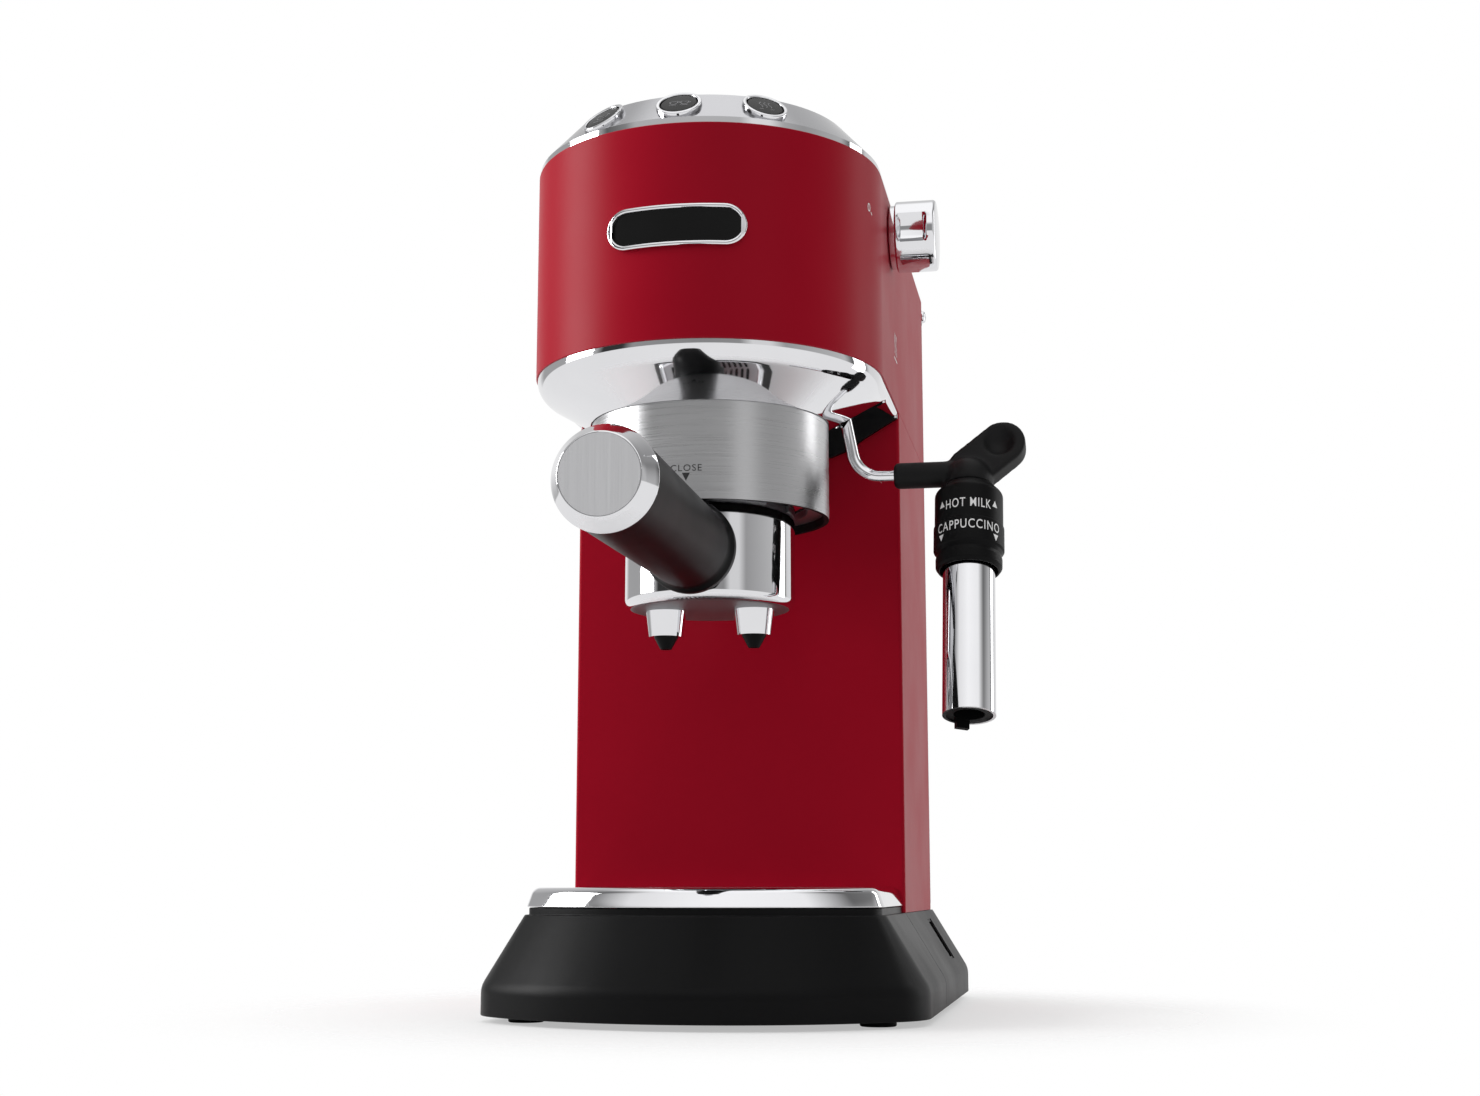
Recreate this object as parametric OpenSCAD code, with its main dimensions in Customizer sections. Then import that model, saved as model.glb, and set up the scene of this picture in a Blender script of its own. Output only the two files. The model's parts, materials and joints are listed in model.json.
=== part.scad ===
// Pump espresso machine with a narrow column, a round head, a swinging filter holder,
// a steam wand and a tank that lifts out of the back.
// +Z is up, +X is the right side seen from the front, and the front faces -Y.
// The origin is on the table, in the middle of the machine's outline seen from above.
// The sub-parts are drawn about the middle of the base, and placed() moves them to the origin.

/* [Body] */
// Width of the column and of the head
body_w = 121; // [120:0.5:122]
// Height of the top of the base, where the column stands
base_top = 34.6; // [34:0.2:35.2]
// Height of the seam between the column and the head
head_seam = 216.4; // [216:0.2:217]
// Height of the upper edge of the head's painted shell
head_top = 289.1; // [288:0.1:290]
// Height of the control panel, the highest edge of the machine
machine_h = 303; // [302:0.5:305]
// Distance from the column's front to the axis of the brewing group
head_reach = 52.3; // [51.5:0.1:53]
// Wall of the painted shells
wall = 2; // [1.5:0.1:2.2]

/* [Base] */
// Width of the base near the table
base_w = 149; // [148:0.5:151]
// Depth of the base
base_d = 218.4; // [217:0.2:220]
// Radius of the bowed front
front_arc_r = 97; // [95:1:100]
// Radius of the corners beside the bowed front
corner_arc_r = 24.5; // [23.5:0.5:25.5]
// Height of the upright edge of the base
shoulder_z = 11.5; // [10.5:0.5:12.5]
// Gap between the base and the table
base_lift = 2.1; // [1.6:0.1:2.6]

/* [Control panel] */
// Angle between two neighbouring buttons, seen from above
button_spread = 30; // [28:1:34]
// Diameter of a button
button_d = 12.2; // [11.6:0.1:12.6]
// Travel of a button
button_travel = 1.2; // [0.8:0.1:1.3]

/* [Brewing group] */
// Outer radius of the brushed collar
collar_r = 41; // [40.8:0.1:41.1]
// Height of the collar's lower edge
collar_z = 168; // [167:0.5:169]
// Outer radius of the filter holder's body
holder_r = 29.2; // [28.6:0.1:29.8]
// Height of the filter holder's underside
holder_z = 136.8; // [136:0.2:138]
// Distance between the two spouts
spout_gap = 30.6; // [29:0.2:32]
// Height of the handle's axis
handle_z = 153.1; // [152:0.1:154]
// Distance from the middle of the base to the handle's end
handle_end = 209.6; // [206:0.1:214]

/* [Steam] */
// Outer radius of the knob
knob_r = 12.8; // [12.4:0.1:13]
// How far the knob stands out from the head
knob_reach = 17.5; // [16.5:0.5:19]
// Radius of the steam pipe
pipe_r = 2.1; // [2:0.1:2.2]
// Lean of the pipe out of the head, from the vertical
pipe_lean = 11; // [10:1:12]
// Lean of the frother towards the front, from the vertical
frother_tilt = 15; // [13:1:17]
// Distance of the frother's axis from the middle plane
frother_x = 88; // [87:0.5:89]

/* [Water tank] */
// Depth of the tank's body
tank_d = 42.4; // [41.4:0.2:43]
// Wall of the tank
tank_wall = 2.2; // [1.8:0.1:2.6]

/* [Hidden] */
$fn = 96;

red = [0.58, 0.06, 0.1];
black = [0.1, 0.1, 0.1];
chrome = [0.82, 0.83, 0.85];
steel = [0.68, 0.69, 0.7];
grey = [0.45, 0.46, 0.48];

// Gap between pieces that move past each other
gap = 0.3;
// Length that carries a cut clear through a wall
through = 1;

half_w = body_w / 2;
inner_w = half_w - wall;
column_front = -3;
side_back = 100.6;
base_back = base_d / 2;
base_front = -base_d / 2;
tab_r = 7.9;
tab_reach = 11.8;
gland_length = 2;
middle_x = (frother_x + tab_reach + tab_r - base_w / 2) / 2;
middle_y = (base_back + gland_length - handle_end) / 2;
group_y = column_front - head_reach;
side_lean = (base_w - body_w) / 2 / (base_top - shoulder_z);

// Plan of the bowed front: the middles of its three arcs
arc_y = base_front + front_arc_r;
corner_x = base_w / 2 - corner_arc_r;
corner_y = arc_y - sqrt(pow(front_arc_r - corner_arc_r, 2) - pow(corner_x, 2));

// ---------- Shapes that more than one piece uses ----------

function unit(v) = v / norm(v);
function corner_angle(before, p, after) = acos(unit(before - p) * unit(after - p));

// An outline whose outward corners [x, y, radius] are rounded with true arcs
module rounded(corners) {
    n = len(corners);
    p = [for (c = corners) [c[0], c[1]]];
    before = [for (i = [0:n - 1]) p[(i + n - 1) % n]];
    after = [for (i = [0:n - 1]) p[(i + 1) % n]];
    half = [for (i = [0:n - 1]) corner_angle(before[i], p[i], after[i]) / 2];
    polygon([
        for (i = [0:n - 1])
            let (cut = corners[i][2] / tan(half[i]))
            each cut > 0
                ? [p[i] + unit(before[i] - p[i]) * cut, p[i] + unit(after[i] - p[i]) * cut]
                : [p[i]]
    ]);
    for (i = [0:n - 1])
        if (corners[i][2] > 0)
            round_corner(p[i], unit(before[i] - p[i]), unit(after[i] - p[i]), corners[i][2], half[i]);
}

// The round end of one corner: the part of its circle that lies between the two tangent points
module round_corner(p, back, ahead, r, half) {
    cut = r / tan(half);
    inward = unit(back + ahead);
    intersection() {
        translate(p + inward * r / sin(half)) circle(r);
        polygon([
            p + back * cut,
            p,
            p + ahead * cut,
            p + inward * (cut * cos(half) + r / 5)
        ]);
    }
}

module rounded_box(x0, x1, y0, y1, r) {
    rounded([[x0, y0, r], [x1, y0, r], [x1, y1, r], [x0, y1, r]]);
}

// A block between two corners
module block(low, high) {
    translate(low) cube(high - low);
}

// A round bar from point a to point b
module rod(a, b, r) {
    d = b - a;
    translate(a)
        rotate([0, acos(d[2] / norm(d)), atan2(d[1], d[0])])
            cylinder(r = r, h = norm(d));
}

// A bent tube through a list of points
module bent_tube(path, r) {
    for (i = [0:len(path) - 2])
        rod(path[i], path[i + 1], r);
    for (i = [1:len(path) - 2])
        translate(path[i]) sphere(r + 0.3);
}

module ring(r_out, r_in, z0, z1) {
    translate([0, 0, z0]) difference() {
        cylinder(r = r_out, h = z1 - z0);
        translate([0, 0, -through]) cylinder(r = r_in, h = z1 - z0 + 2 * through);
    }
}

module placed() {
    translate([-middle_x, -middle_y, 0]) children();
}

module at_group() {
    translate([0, group_y, 0]) children();
}

// Plan of the head: a half circle about the group's axis with straight sides to the back
module head_plan(inset, back) {
    r = half_w - inset;
    intersection() {
        union() {
            translate([0, group_y]) circle(r);
            translate([-r, group_y]) square([2 * r, back - group_y]);
        }
        translate([-100, back - 300]) square([200, 300]);
    }
}

module head_prism(inset, back, z0, z1) {
    translate([0, 0, z0]) linear_extrude(z1 - z0) head_plan(inset, back);
}

// ---------- Base ----------

// Upright section of the base's side. x is 0 at the outer edge and runs inwards to minus.
module side_profile(inset, bottom, top) {
    middle = -150;
    rounded([
        [middle, bottom, 0],
        [-inset, bottom, 0],
        [-inset, shoulder_z, 8],
        [-inset - side_lean * (top - shoulder_z), top, 0],
        [middle, top, 0]
    ]);
}

module flat_profile(inset, bottom, top) {
    translate([-150, bottom]) square([150 - inset, top - bottom]);
}

// The half of a section that lies outside the axis, moved out to radius r
module half_section(r) {
    intersection() {
        translate([r, 0]) children();
        translate([0, -10]) square([r + 10, 120]);
    }
}

// Sweep a side section straight back, on both sides
module straight_sweep(y0, y1) {
    translate([0, y1, 0]) rotate([90, 0, 0]) linear_extrude(y1 - y0)
        for (side = [0, 1]) mirror([side, 0, 0]) half_section(base_w / 2) children();
}

// Sweep a side section round the bowed front and along both sides to y = back
module front_sweep(back) {
    straight_sweep(corner_y, back) children();
    intersection() {
        translate([0, arc_y, 0]) rotate_extrude() half_section(front_arc_r) children();
        translate([0, arc_y, -10]) linear_extrude(100) polygon([
            [0, 0],
            [2 * corner_x, 2 * (corner_y - arc_y)],
            [0, -200],
            [-2 * corner_x, 2 * (corner_y - arc_y)]
        ]);
    }
    for (side = [0, 1]) mirror([side, 0, 0]) intersection() {
        translate([corner_x, corner_y, 0]) rotate_extrude() half_section(corner_arc_r) children();
        translate([corner_x, corner_y, -10]) linear_extrude(100) polygon([
            [0, 0],
            [corner_x, corner_y - arc_y],
            [80, -40],
            [60, 0]
        ]);
    }
}

plate_top = base_lift + 3.1;
base_wall = 2.6;
deck_t = 3;
boss_at = [[-53, 14], [53, 14], [-53, 98], [53, 98]];
screw_r = 1.5;

// Frame of the power switch on the sloping right side: its own Z points out of the slope
switch_z = 24;
switch_y = 69;
switch_l = 17.4;
switch_w = 15;
rocker_z = -4;

module at_switch() {
    slope = atan(1 / side_lean);
    translate([base_w / 2 - side_lean * (switch_z - shoulder_z), switch_y, switch_z])
        rotate([0, slope, 0]) children();
}

// Where the hoses and the tank's valve pass through the deck
dock_at = [0, 84];
pump_at = [-18, 28];
gland_at = [-52, 19];

module base_shell() color(black) placed() difference() {
    union() {
        difference() {
            straight_sweep(column_front, base_back) side_profile(0, base_lift, base_top);
            straight_sweep(column_front + base_wall, base_back - base_wall)
                side_profile(base_wall, base_lift - through, base_top - deck_t);
        }
        for (p = boss_at) translate([p[0], p[1], plate_top])
            cylinder(r = 4, h = base_top - deck_t - plate_top);
    }
    for (p = boss_at) translate([p[0], p[1], plate_top - through])
        cylinder(r = screw_r + 0.2, h = 18);
    block([-68, column_front - through, -1], [68, column_front + base_wall + through, plate_top + 0.4]);
    translate([dock_at[0], dock_at[1], base_top - deck_t - through]) cylinder(r = 9, h = deck_t + 2 * through);
    translate([pump_at[0], pump_at[1], base_top - deck_t - through]) cylinder(r = 5, h = deck_t + 2 * through);
    at_switch() translate([-switch_l / 2, -switch_w / 2, -8]) cube([switch_l, switch_w, 12]);
    rod([gland_at[0], base_back - 5, gland_at[1]], [gland_at[0], base_back + through, gland_at[1]], 6);
}

module base_plate() color(black) placed() difference() {
    union() {
        front_sweep(base_back - base_wall - gap) flat_profile(7, base_lift, plate_top);
        block([-71.5, 0, base_lift], [71.5, base_back - base_wall - gap, plate_top]);
    }
    for (p = boss_at) translate([p[0], p[1], 0]) {
        cylinder(r = screw_r + 0.2, h = 20);
        cylinder(r = 3.3, h = base_lift + 1.8);
    }
}

foot_at = [[-58, -71], [58, -71], [-58, 78], [58, 78]];

module rubber_feet() color(black) placed() for (p = foot_at) translate([p[0], p[1], 0])
    rotate_extrude() rounded([[0, 0, 0], [5.9, 0, 0.6], [5.9, base_lift, 0], [0, base_lift, 0]]);

module base_screws() color(steel) placed() for (p = boss_at) translate([p[0], p[1], base_lift]) {
    translate([0, 0, 0.2]) cylinder(r = 3, h = 1.6);
    translate([0, 0, 1.8]) cylinder(r = screw_r, h = 15);
}

module switch_housing() color(black) placed() at_switch() difference() {
    translate([-switch_l / 2, -switch_w / 2, -10]) cube([switch_l, switch_w, 9.6]);
    translate([-switch_l / 2 + 1, -switch_w / 2 + 1, -8.8]) cube([switch_l - 2, switch_w - 2, 10]);
    rod([0, -switch_w, rocker_z], [0, switch_w, rocker_z], 1.25);
}

// The rocker turns on two pins. It is pressed in at its upper end when the machine is off.
switch_rock = 5;
rocker_w = switch_w - 2.8;

module switch_rocker() color(black) placed() at_switch() translate([0, 0, rocker_z]) rotate([0, -switch_rock, 0]) {
    translate([0, rocker_w / 2, 0]) rotate([90, 0, 0]) linear_extrude(rocker_w)
        rounded([[-7, -1, 0.6], [0, -3.6, 2], [7, -1, 0.6], [7, 2.6, 0.5], [0, 2, 0], [-7, 2.6, 0.5]]);
    rod([0, -rocker_w / 2 - 1, 0], [0, rocker_w / 2 + 1, 0], 1.2);
}

module cord_gland() color(black) placed() difference() {
    union() {
        rod([gland_at[0], base_back - 6, gland_at[1]], [gland_at[0], base_back, gland_at[1]], 6);
        rod([gland_at[0], base_back, gland_at[1]], [gland_at[0], base_back + gland_length, gland_at[1]], 8);
    }
    rod([gland_at[0], base_back - 8, gland_at[1]], [gland_at[0], base_back + 4, gland_at[1]], 3.4);
}

// ---------- Drip tray and cup grid ----------

tray_back = column_front - gap;
tray_wall = 3.2;
tray_floor = 8.5;
tray_lip_z = 36.9;
rim_bottom = tray_lip_z + 0.2;
rim_top = 43.5;
rim_inset = 22;
rim_back = tray_back - 4.7;
float_at = [-30, -72];

module drip_tray() color(black) placed() {
    difference() {
        union() {
            front_sweep(tray_back) side_profile(0, base_lift, base_top);
            front_sweep(tray_back) flat_profile(15.4, base_top - 2, tray_lip_z);
        }
        front_sweep(tray_back - base_wall) side_profile(tray_wall, tray_floor, tray_lip_z + through);
        front_sweep(tray_back + through) flat_profile(base_wall, base_lift - through, tray_floor - 2);
    }
    translate([float_at[0], float_at[1], 0]) ring(8, 6.6, tray_floor, tray_floor + 7);
}

module tray_float() color([0.8, 0.1, 0.08]) placed() translate([float_at[0], float_at[1], tray_floor + 0.4]) {
    cylinder(r = 6.2, h = 6);
    cylinder(r = 2.2, h = 31);
}

module grid_rim() color(chrome) placed() difference() {
    front_sweep(tray_back) rounded([
        [-150, rim_bottom, 0],
        [-14.6, rim_bottom, 0.5],
        [-19.2, rim_top, 5],
        [-150, rim_top, 0]
    ]);
    front_sweep(rim_back) flat_profile(rim_inset, rim_bottom - through, rim_top + through);
}

grid_z = 40.9;
grid_t = 1.2;
slot_w = 3;

// Front end of a slot at distance x from the middle, kept inside the rim
function slot_front(x) = arc_y - sqrt(pow(front_arc_r - rim_inset - 5, 2) - x * x);

module grid_plate() color(steel) placed() difference() {
    front_sweep(rim_back) flat_profile(rim_inset, grid_z, grid_z + grid_t);
    for (x = [-42:6:42]) {
        y0 = slot_front(x);
        run = rim_back - 5 - y0;
        for (i = [0:2])
            translate([x - slot_w / 2, y0 + i * run / 3, grid_z - through])
                cube([slot_w, run / 3 - 3, grid_t + 2 * through]);
    }
    translate([float_at[0], float_at[1], grid_z - through]) cylinder(r = 2.8, h = grid_t + 2 * through);
}

// ---------- Column and head ----------

module column_shell() color(red) placed() difference() {
    translate([0, 0, base_top]) linear_extrude(head_seam - base_top)
        rounded_box(-half_w, half_w, column_front, side_back, 1.2);
    block([-inner_w, column_front + wall, base_top - through], [inner_w, side_back + 5, head_seam + through]);
}

// The steam knob's axis runs along X through this point
knob_y = -25;
knob_z = 276;

module head_shell() color(red) placed() difference() {
    head_prism(0, side_back, head_seam, head_top);
    head_prism(wall, side_back + 5, head_seam - through, head_top + through);
    rod([half_w - 5, knob_y, knob_z], [half_w + 5, knob_y, knob_z], 5);
}

skirt_inset = 0.5;
skirt_flat = 213.8;
skirt_low = 201;
skirt_low_r = 41.5;
skirt_t = 1.3;
collar_hole_r = collar_r + gap;

// The space over the skirt's underside: a 30 degree funnel about the group, flat in the rear corners
module funnel(inset, lift, top) {
    rise = skirt_flat - skirt_low;
    intersection() {
        at_group() translate([0, 0, skirt_low + lift])
            cylinder(r1 = skirt_low_r, r2 = skirt_low_r + rise * tan(60), h = rise);
        head_prism(skirt_inset + inset, column_front, skirt_low, skirt_flat + lift);
    }
    head_prism(skirt_inset + inset, column_front, skirt_flat + lift, top);
}

module skirt() color(chrome) placed() difference() {
    funnel(0, 0, head_seam);
    funnel(skirt_t, skirt_t + 0.3, head_seam + through);
    at_group() translate([0, 0, skirt_low - through]) cylinder(r = collar_hole_r, h = 20);
    rod(pivot - pivot_up * 4, pivot + pivot_up * 10, pipe_r + 2.2);
}

module underside_fairing() color(black) placed() difference() {
    union() {
        translate([0, column_front, 0]) rotate([90, 0, 0]) linear_extrude(2) polygon([
            for (side = [1, -1], i = [0:3])
                let (k = side > 0 ? i : 3 - i, p = [[60, skirt_flat], [48, 206.7], [42, 202.4], [35.5, 199.9]][k])
                [side * p[0], p[1]]
        ]);
        block([-32, column_front - 14, 199.9], [32, column_front - 1, skirt_flat]);
    }
    funnel(0, 0, head_seam);
    at_group() translate([0, 0, 190]) cylinder(r = collar_r, h = 30);
}

badge_z = 254;
badge_half = 23.3;
badge_r = 7;

module badge_outline(inset) {
    r = badge_r - inset;
    for (side = [-1, 1]) translate([side * (badge_half - badge_r), badge_z]) circle(r);
    translate([-(badge_half - badge_r), badge_z - r]) square([2 * (badge_half - badge_r), 2 * r]);
}

// A pill cut out of a thin ring round the head
module badge_layer(inset, proud) {
    intersection() {
        at_group() ring(half_w + proud, half_w, badge_z - 20, badge_z + 20);
        translate([0, group_y - 20, 0]) rotate([90, 0, 0]) linear_extrude(60) badge_outline(inset);
    }
}

module badge_rim() color(chrome) placed() difference() {
    badge_layer(0, 1.6);
    translate([0, group_y - 20, 0]) rotate([90, 0, 0]) linear_extrude(60) badge_outline(1.5);
}

module badge_plate() color(black) placed() badge_layer(1.5, 0.9);

// ---------- Control panel and buttons ----------

panel_lip = 2;
panel_r = half_w - 0.5;
panel_top_r = 49;
panel_back = 54;
panel_t = 2.4;
panel_slope = atan((machine_h - head_top - panel_lip) / (panel_r - panel_top_r));
warmer_r = 46.3;
warmer_z = machine_h - 2.6;

// The panel's outer form, or the space inside it when inset is over 0
module panel_form(inset, bottom, top) {
    rim_z = head_top + panel_lip;
    lean = (panel_r - panel_top_r) / (machine_h - rim_z);
    r0 = panel_r - inset;
    r1 = r0 - lean * (top - rim_z);
    at_group() {
        translate([0, 0, bottom]) cylinder(r = r0, h = rim_z - bottom);
        translate([0, 0, rim_z]) cylinder(r1 = r0, r2 = r1, h = top - rim_z);
    }
    translate([0, panel_back - inset, 0]) rotate([90, 0, 0]) linear_extrude(panel_back - inset - group_y)
        polygon([[-r0, bottom], [r0, bottom], [r0, rim_z], [r1, top], [-r1, top], [-r0, rim_z]]);
}

module flat_top_plan(r, back) {
    translate([0, group_y]) circle(r);
    translate([-r, group_y]) square([2 * r, back - group_y]);
}

// Frame of a button: its own Z points straight out of the sloping panel
module on_panel(turn) {
    mid_z = (head_top + panel_lip + machine_h) / 2;
    mid_r = (panel_r + panel_top_r) / 2;
    at_group() rotate([0, 0, turn]) translate([0, -mid_r, mid_z]) rotate([panel_slope, 0, 0]) children();
}

button_turns = [-button_spread, 0, button_spread];
boss_r = 7.7;
boss_h = 6;
button_hole_r = button_d / 2 + gap;

module control_panel() color(chrome) placed() difference() {
    union() {
        difference() {
            panel_form(0, head_top, machine_h);
            panel_form(panel_t, head_top - through, warmer_z - 1.8);
        }
        for (turn = button_turns) on_panel(turn) translate([0, 0, -boss_h]) cylinder(r = boss_r, h = boss_h + 0.4);
    }
    translate([0, 0, warmer_z]) linear_extrude(10) flat_top_plan(warmer_r, panel_back - 4);
    translate([0, 0, warmer_z - 10]) linear_extrude(20) flat_top_plan(warmer_r - 2, panel_back - 6);
    for (turn = button_turns) on_panel(turn) translate([0, 0, -boss_h - 5]) cylinder(r = button_hole_r, h = 20);
}

module button_bezels() color(chrome) placed() for (turn = button_turns) on_panel(turn) translate([0, 0, 0.4])
    rotate_extrude() rounded([
        [button_hole_r, 0, 0],
        [boss_r, 0, 0],
        [boss_r, 0.9, 0.4],
        [button_hole_r, 0.9, 0.4]
    ]);

module button(turn) color(black) placed() on_panel(turn) rotate_extrude() rounded([
    [0, -5.4, 0],
    [button_d / 2, -5.4, 0],
    [button_d / 2, 1, 0.5],
    [0, 1.3, 0]
]);

module button_one_cup() button(-button_spread);
module button_two_cups() button(0);
module button_steam() button(button_spread);

module button_switches() color(grey) placed() for (turn = button_turns) on_panel(turn) {
    ring(boss_r, button_hole_r + 0.1, -boss_h - 1.4, -boss_h);
    translate([0, 0, -boss_h - 2.8]) cylinder(r = boss_r, h = 1.4);
    translate([0, 0, -boss_h - 1.4]) cylinder(r = 1.6, h = 0.4);
}

module cup_warmer() color(steel) placed() {
    translate([0, 0, warmer_z]) linear_extrude(1.4) flat_top_plan(warmer_r, panel_back - 4);
    for (x = [-36:9:36])
        block([x - 1.2, group_y - 20, warmer_z + 1.4], [x + 1.2, panel_back - 12, warmer_z + 2]);
}

// ---------- Brewing group ----------

collar_t = 1.4;
head_r = collar_r - collar_t;
ledge_low = 171;
ledge_high = 174.5;
ledge_r = 33.6;
lug_r = 37.6;
lug_high = 178.6;
seal_z = 181.5;
group_plate = 187.5;
group_top = 217;
lug_turns = [30, 150, 270];
lug_span = 30;
insert_turn = -45;

// A sector of the given span about the group's axis, centred on the direction turn
module sector(turn, span, z0, z1) {
    far = 60;
    at_group() rotate([0, 0, turn]) translate([0, 0, z0]) linear_extrude(z1 - z0)
        polygon([[0, 0], [far * cos(span / 2), -far * sin(span / 2)], [far * 1.3, 0],
            [far * cos(span / 2), far * sin(span / 2)]]);
}

module group_collar() color(steel) placed() at_group() ring(collar_r, head_r, collar_z, 203);

module group_head() color(grey) placed() difference() {
    at_group() {
        translate([0, 0, ledge_low]) cylinder(r = head_r, h = group_plate + 4 - ledge_low);
        translate([0, 0, group_plate]) cylinder(r = 20, h = group_top - group_plate);
    }
    at_group() translate([0, 0, ledge_low - through]) cylinder(r = ledge_r, h = seal_z - ledge_low + through);
    at_group() translate([0, 0, ledge_high]) cylinder(r = lug_r + 0.6, h = seal_z - ledge_high);
    difference() {
        at_group() translate([0, 0, seal_z - through]) cylinder(r = 31, h = group_plate - seal_z + through);
        at_group() translate([0, 0, group_plate - 1.5]) cylinder(r = 10, h = 10);
    }
    for (turn = lug_turns) intersection() {
        at_group() translate([0, 0, ledge_low - through]) cylinder(r = lug_r + 0.6, h = 6);
        sector(turn + insert_turn, lug_span + 4, ledge_low - through, ledge_high + through);
    }
    at_group() translate([0, 0, group_plate - 5]) cylinder(r = 1.6, h = 50);
}

module group_gasket() color(black) placed() at_group() ring(31, 24.8, seal_z, group_plate);

module shower_screen() color(steel) placed() at_group() difference() {
    translate([0, 0, group_plate - 2.7]) cylinder(r = 24.4, h = 1.2);
    translate([0, 0, group_plate - 5]) cylinder(r = 1.6, h = 10);
}

module screen_screw() color(steel) placed() at_group() {
    translate([0, 0, group_plate - 4.7]) cylinder(r = 3.6, h = 2);
    translate([0, 0, group_plate - 3]) cylinder(r = 1.6, h = 10);
}

// ---------- Filter holder ----------

basket_z = 180.4;
flange_r = ledge_r - 0.4;
basket_r = 25.6;
basket_depth = 23;
spout_top = holder_z;
spout_low = 128;
grip_start = group_y - holder_r - 2.8;
cap_start = -handle_end + 7.4;

module portafilter_body() color(chrome) placed() {
    difference() {
        union() {
            at_group() rotate_extrude() rounded([
                [0, holder_z, 0],
                [holder_r, holder_z, 3.5],
                [holder_r, 172, 0],
                [flange_r, 172, 0.5],
                [flange_r, basket_z, 0],
                [0, basket_z, 0]
            ]);
            for (turn = lug_turns) intersection() {
                at_group() ring(lug_r, holder_r, ledge_high + gap, lug_high);
                sector(turn, lug_span, ledge_high, lug_high + through);
            }
            rod([0, group_y - 10, handle_z], [0, grip_start, handle_z], 9);
        }
        at_group() translate([0, 0, 142]) cylinder(r = 27, h = 60);
        for (side = [-1, 1])
            translate([side * spout_gap / 2, group_y, holder_z - through]) cylinder(r = 2.6, h = 10);
        rod([0, grip_start + 6, handle_z], [0, grip_start - through, handle_z], 4);
    }
}

module filter_basket() color(steel) placed() at_group() rotate_extrude() difference() {
    union() {
        translate([0, basket_z - basket_depth]) square([basket_r, basket_depth + 0.8]);
        translate([0, basket_z]) square([31, 0.8]);
    }
    translate([0, basket_z - basket_depth + 0.8]) square([basket_r - 0.8, basket_depth + 2]);
}

module spouts() color(chrome) placed() for (side = [-1, 1]) translate([side * spout_gap / 2, group_y, 0]) difference() {
    translate([0, 0, spout_low]) cylinder(r1 = 5.9, r2 = 7, h = spout_top - spout_low);
    translate([0, 0, spout_low - through]) cylinder(r = 2.6, h = 20);
    translate([0, 0, spout_low - through]) cylinder(r = 4.2, h = 3 + through);
}

module spout_tips() color(black) placed() for (side = [-1, 1]) translate([side * spout_gap / 2, group_y, 0]) difference() {
    union() {
        translate([0, 0, spout_low]) cylinder(r = 4.2, h = 3);
        translate([0, 0, spout_low - 4.2]) cylinder(r1 = 1.9, r2 = 4.2, h = 4.2);
    }
    translate([0, 0, spout_low - 5]) cylinder(r = 1.2, h = 10);
}

// Turn a profile [radius, distance towards the front] about the handle's axis
module turned_handle() {
    translate([0, 0, handle_z]) rotate([90, 0, 0]) rotate_extrude() children();
}

module handle_stud() color(steel) placed() {
    rod([0, grip_start + 6, handle_z], [0, grip_start - 34, handle_z], 4);
}

module handle_grip() color(black) placed() difference() {
    turned_handle() rounded([
        [0, -grip_start, 0],
        [15.2, -grip_start, 1],
        [15.4, -grip_start + 4.4, 1.2],
        [14, -grip_start + 7, 0],
        [14.1, -grip_start + 30, 0],
        [14.9, -cap_start, 0],
        [0, -cap_start, 0]
    ]);
    rod([0, grip_start + through, handle_z], [0, grip_start - 34, handle_z], 4);
}

module handle_cap() color(chrome) placed() difference() {
    turned_handle() rounded([
        [0, -cap_start, 0],
        [14.9, -cap_start, 0],
        [15.3, -cap_start + 0.8, 0.3],
        [11.9, handle_end - 0.2, 0.4],
        [0, handle_end - 0.2, 0]
    ]);
    rod([0, -handle_end + 1.6, handle_z], [0, -handle_end - through, handle_z], 11.4);
}

module cap_disc() color(steel) placed() rod([0, -handle_end + 1.6, handle_z], [0, -handle_end, handle_z], 11.4);

// ---------- Steam knob and valve ----------

knob_start = half_w + gap;
knob_tip = half_w + knob_reach;
flute_r = 7;
flute_at = knob_r + 3.4;

module steam_knob() color(chrome) placed() difference() {
    translate([knob_start, knob_y, knob_z]) rotate([0, 90, 0]) union() {
        rotate_extrude() rounded([[0, 0, 0], [knob_r, 0, 0.5], [knob_r, 2.2, 0.6], [0, 2.2, 0]]);
        difference() {
            rotate_extrude() rounded([
                [0, 2.2, 0],
                [knob_r, 2.2, 0],
                [knob_r, knob_tip - knob_start, 1.4],
                [0, knob_tip - knob_start, 0]
            ]);
            for (side = [-1, 1]) translate([0, side * flute_at, 2.2]) cylinder(r = flute_r, h = knob_reach);
        }
    }
    rod([knob_start - through, knob_y, knob_z], [knob_start + 9, knob_y, knob_z], 3);
}

module valve_spindle() color(steel) placed() rod([45, knob_y, knob_z], [knob_start + 9, knob_y, knob_z], 3);

valve_x = [40, 50];

module steam_valve() color([0.75, 0.62, 0.3]) placed() difference() {
    union() {
        rod([valve_x[0] - 4, knob_y, knob_z], [56, knob_y, knob_z], 9);
        block([valve_x[0], knob_y - 6, 220], [valve_x[1], knob_y + 6, knob_z - 4]);
        rod([45, knob_y, knob_z], [45, knob_y - 11, knob_z], 3);
    }
    rod([43, knob_y, knob_z], [60, knob_y, knob_z], 3.3);
}

module steam_tubes() color(steel) placed() {
    bent_tube([
        [45, knob_y - 11, knob_z],
        [45, knob_y - 15, knob_z],
        [44, wand_y, 250],
        [43, wand_y, group_top]
    ], 1.8);
    rod([36, knob_y, 240], [valve_x[0], knob_y, 240], 2.5);
}

// ---------- Steam wand ----------

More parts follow.
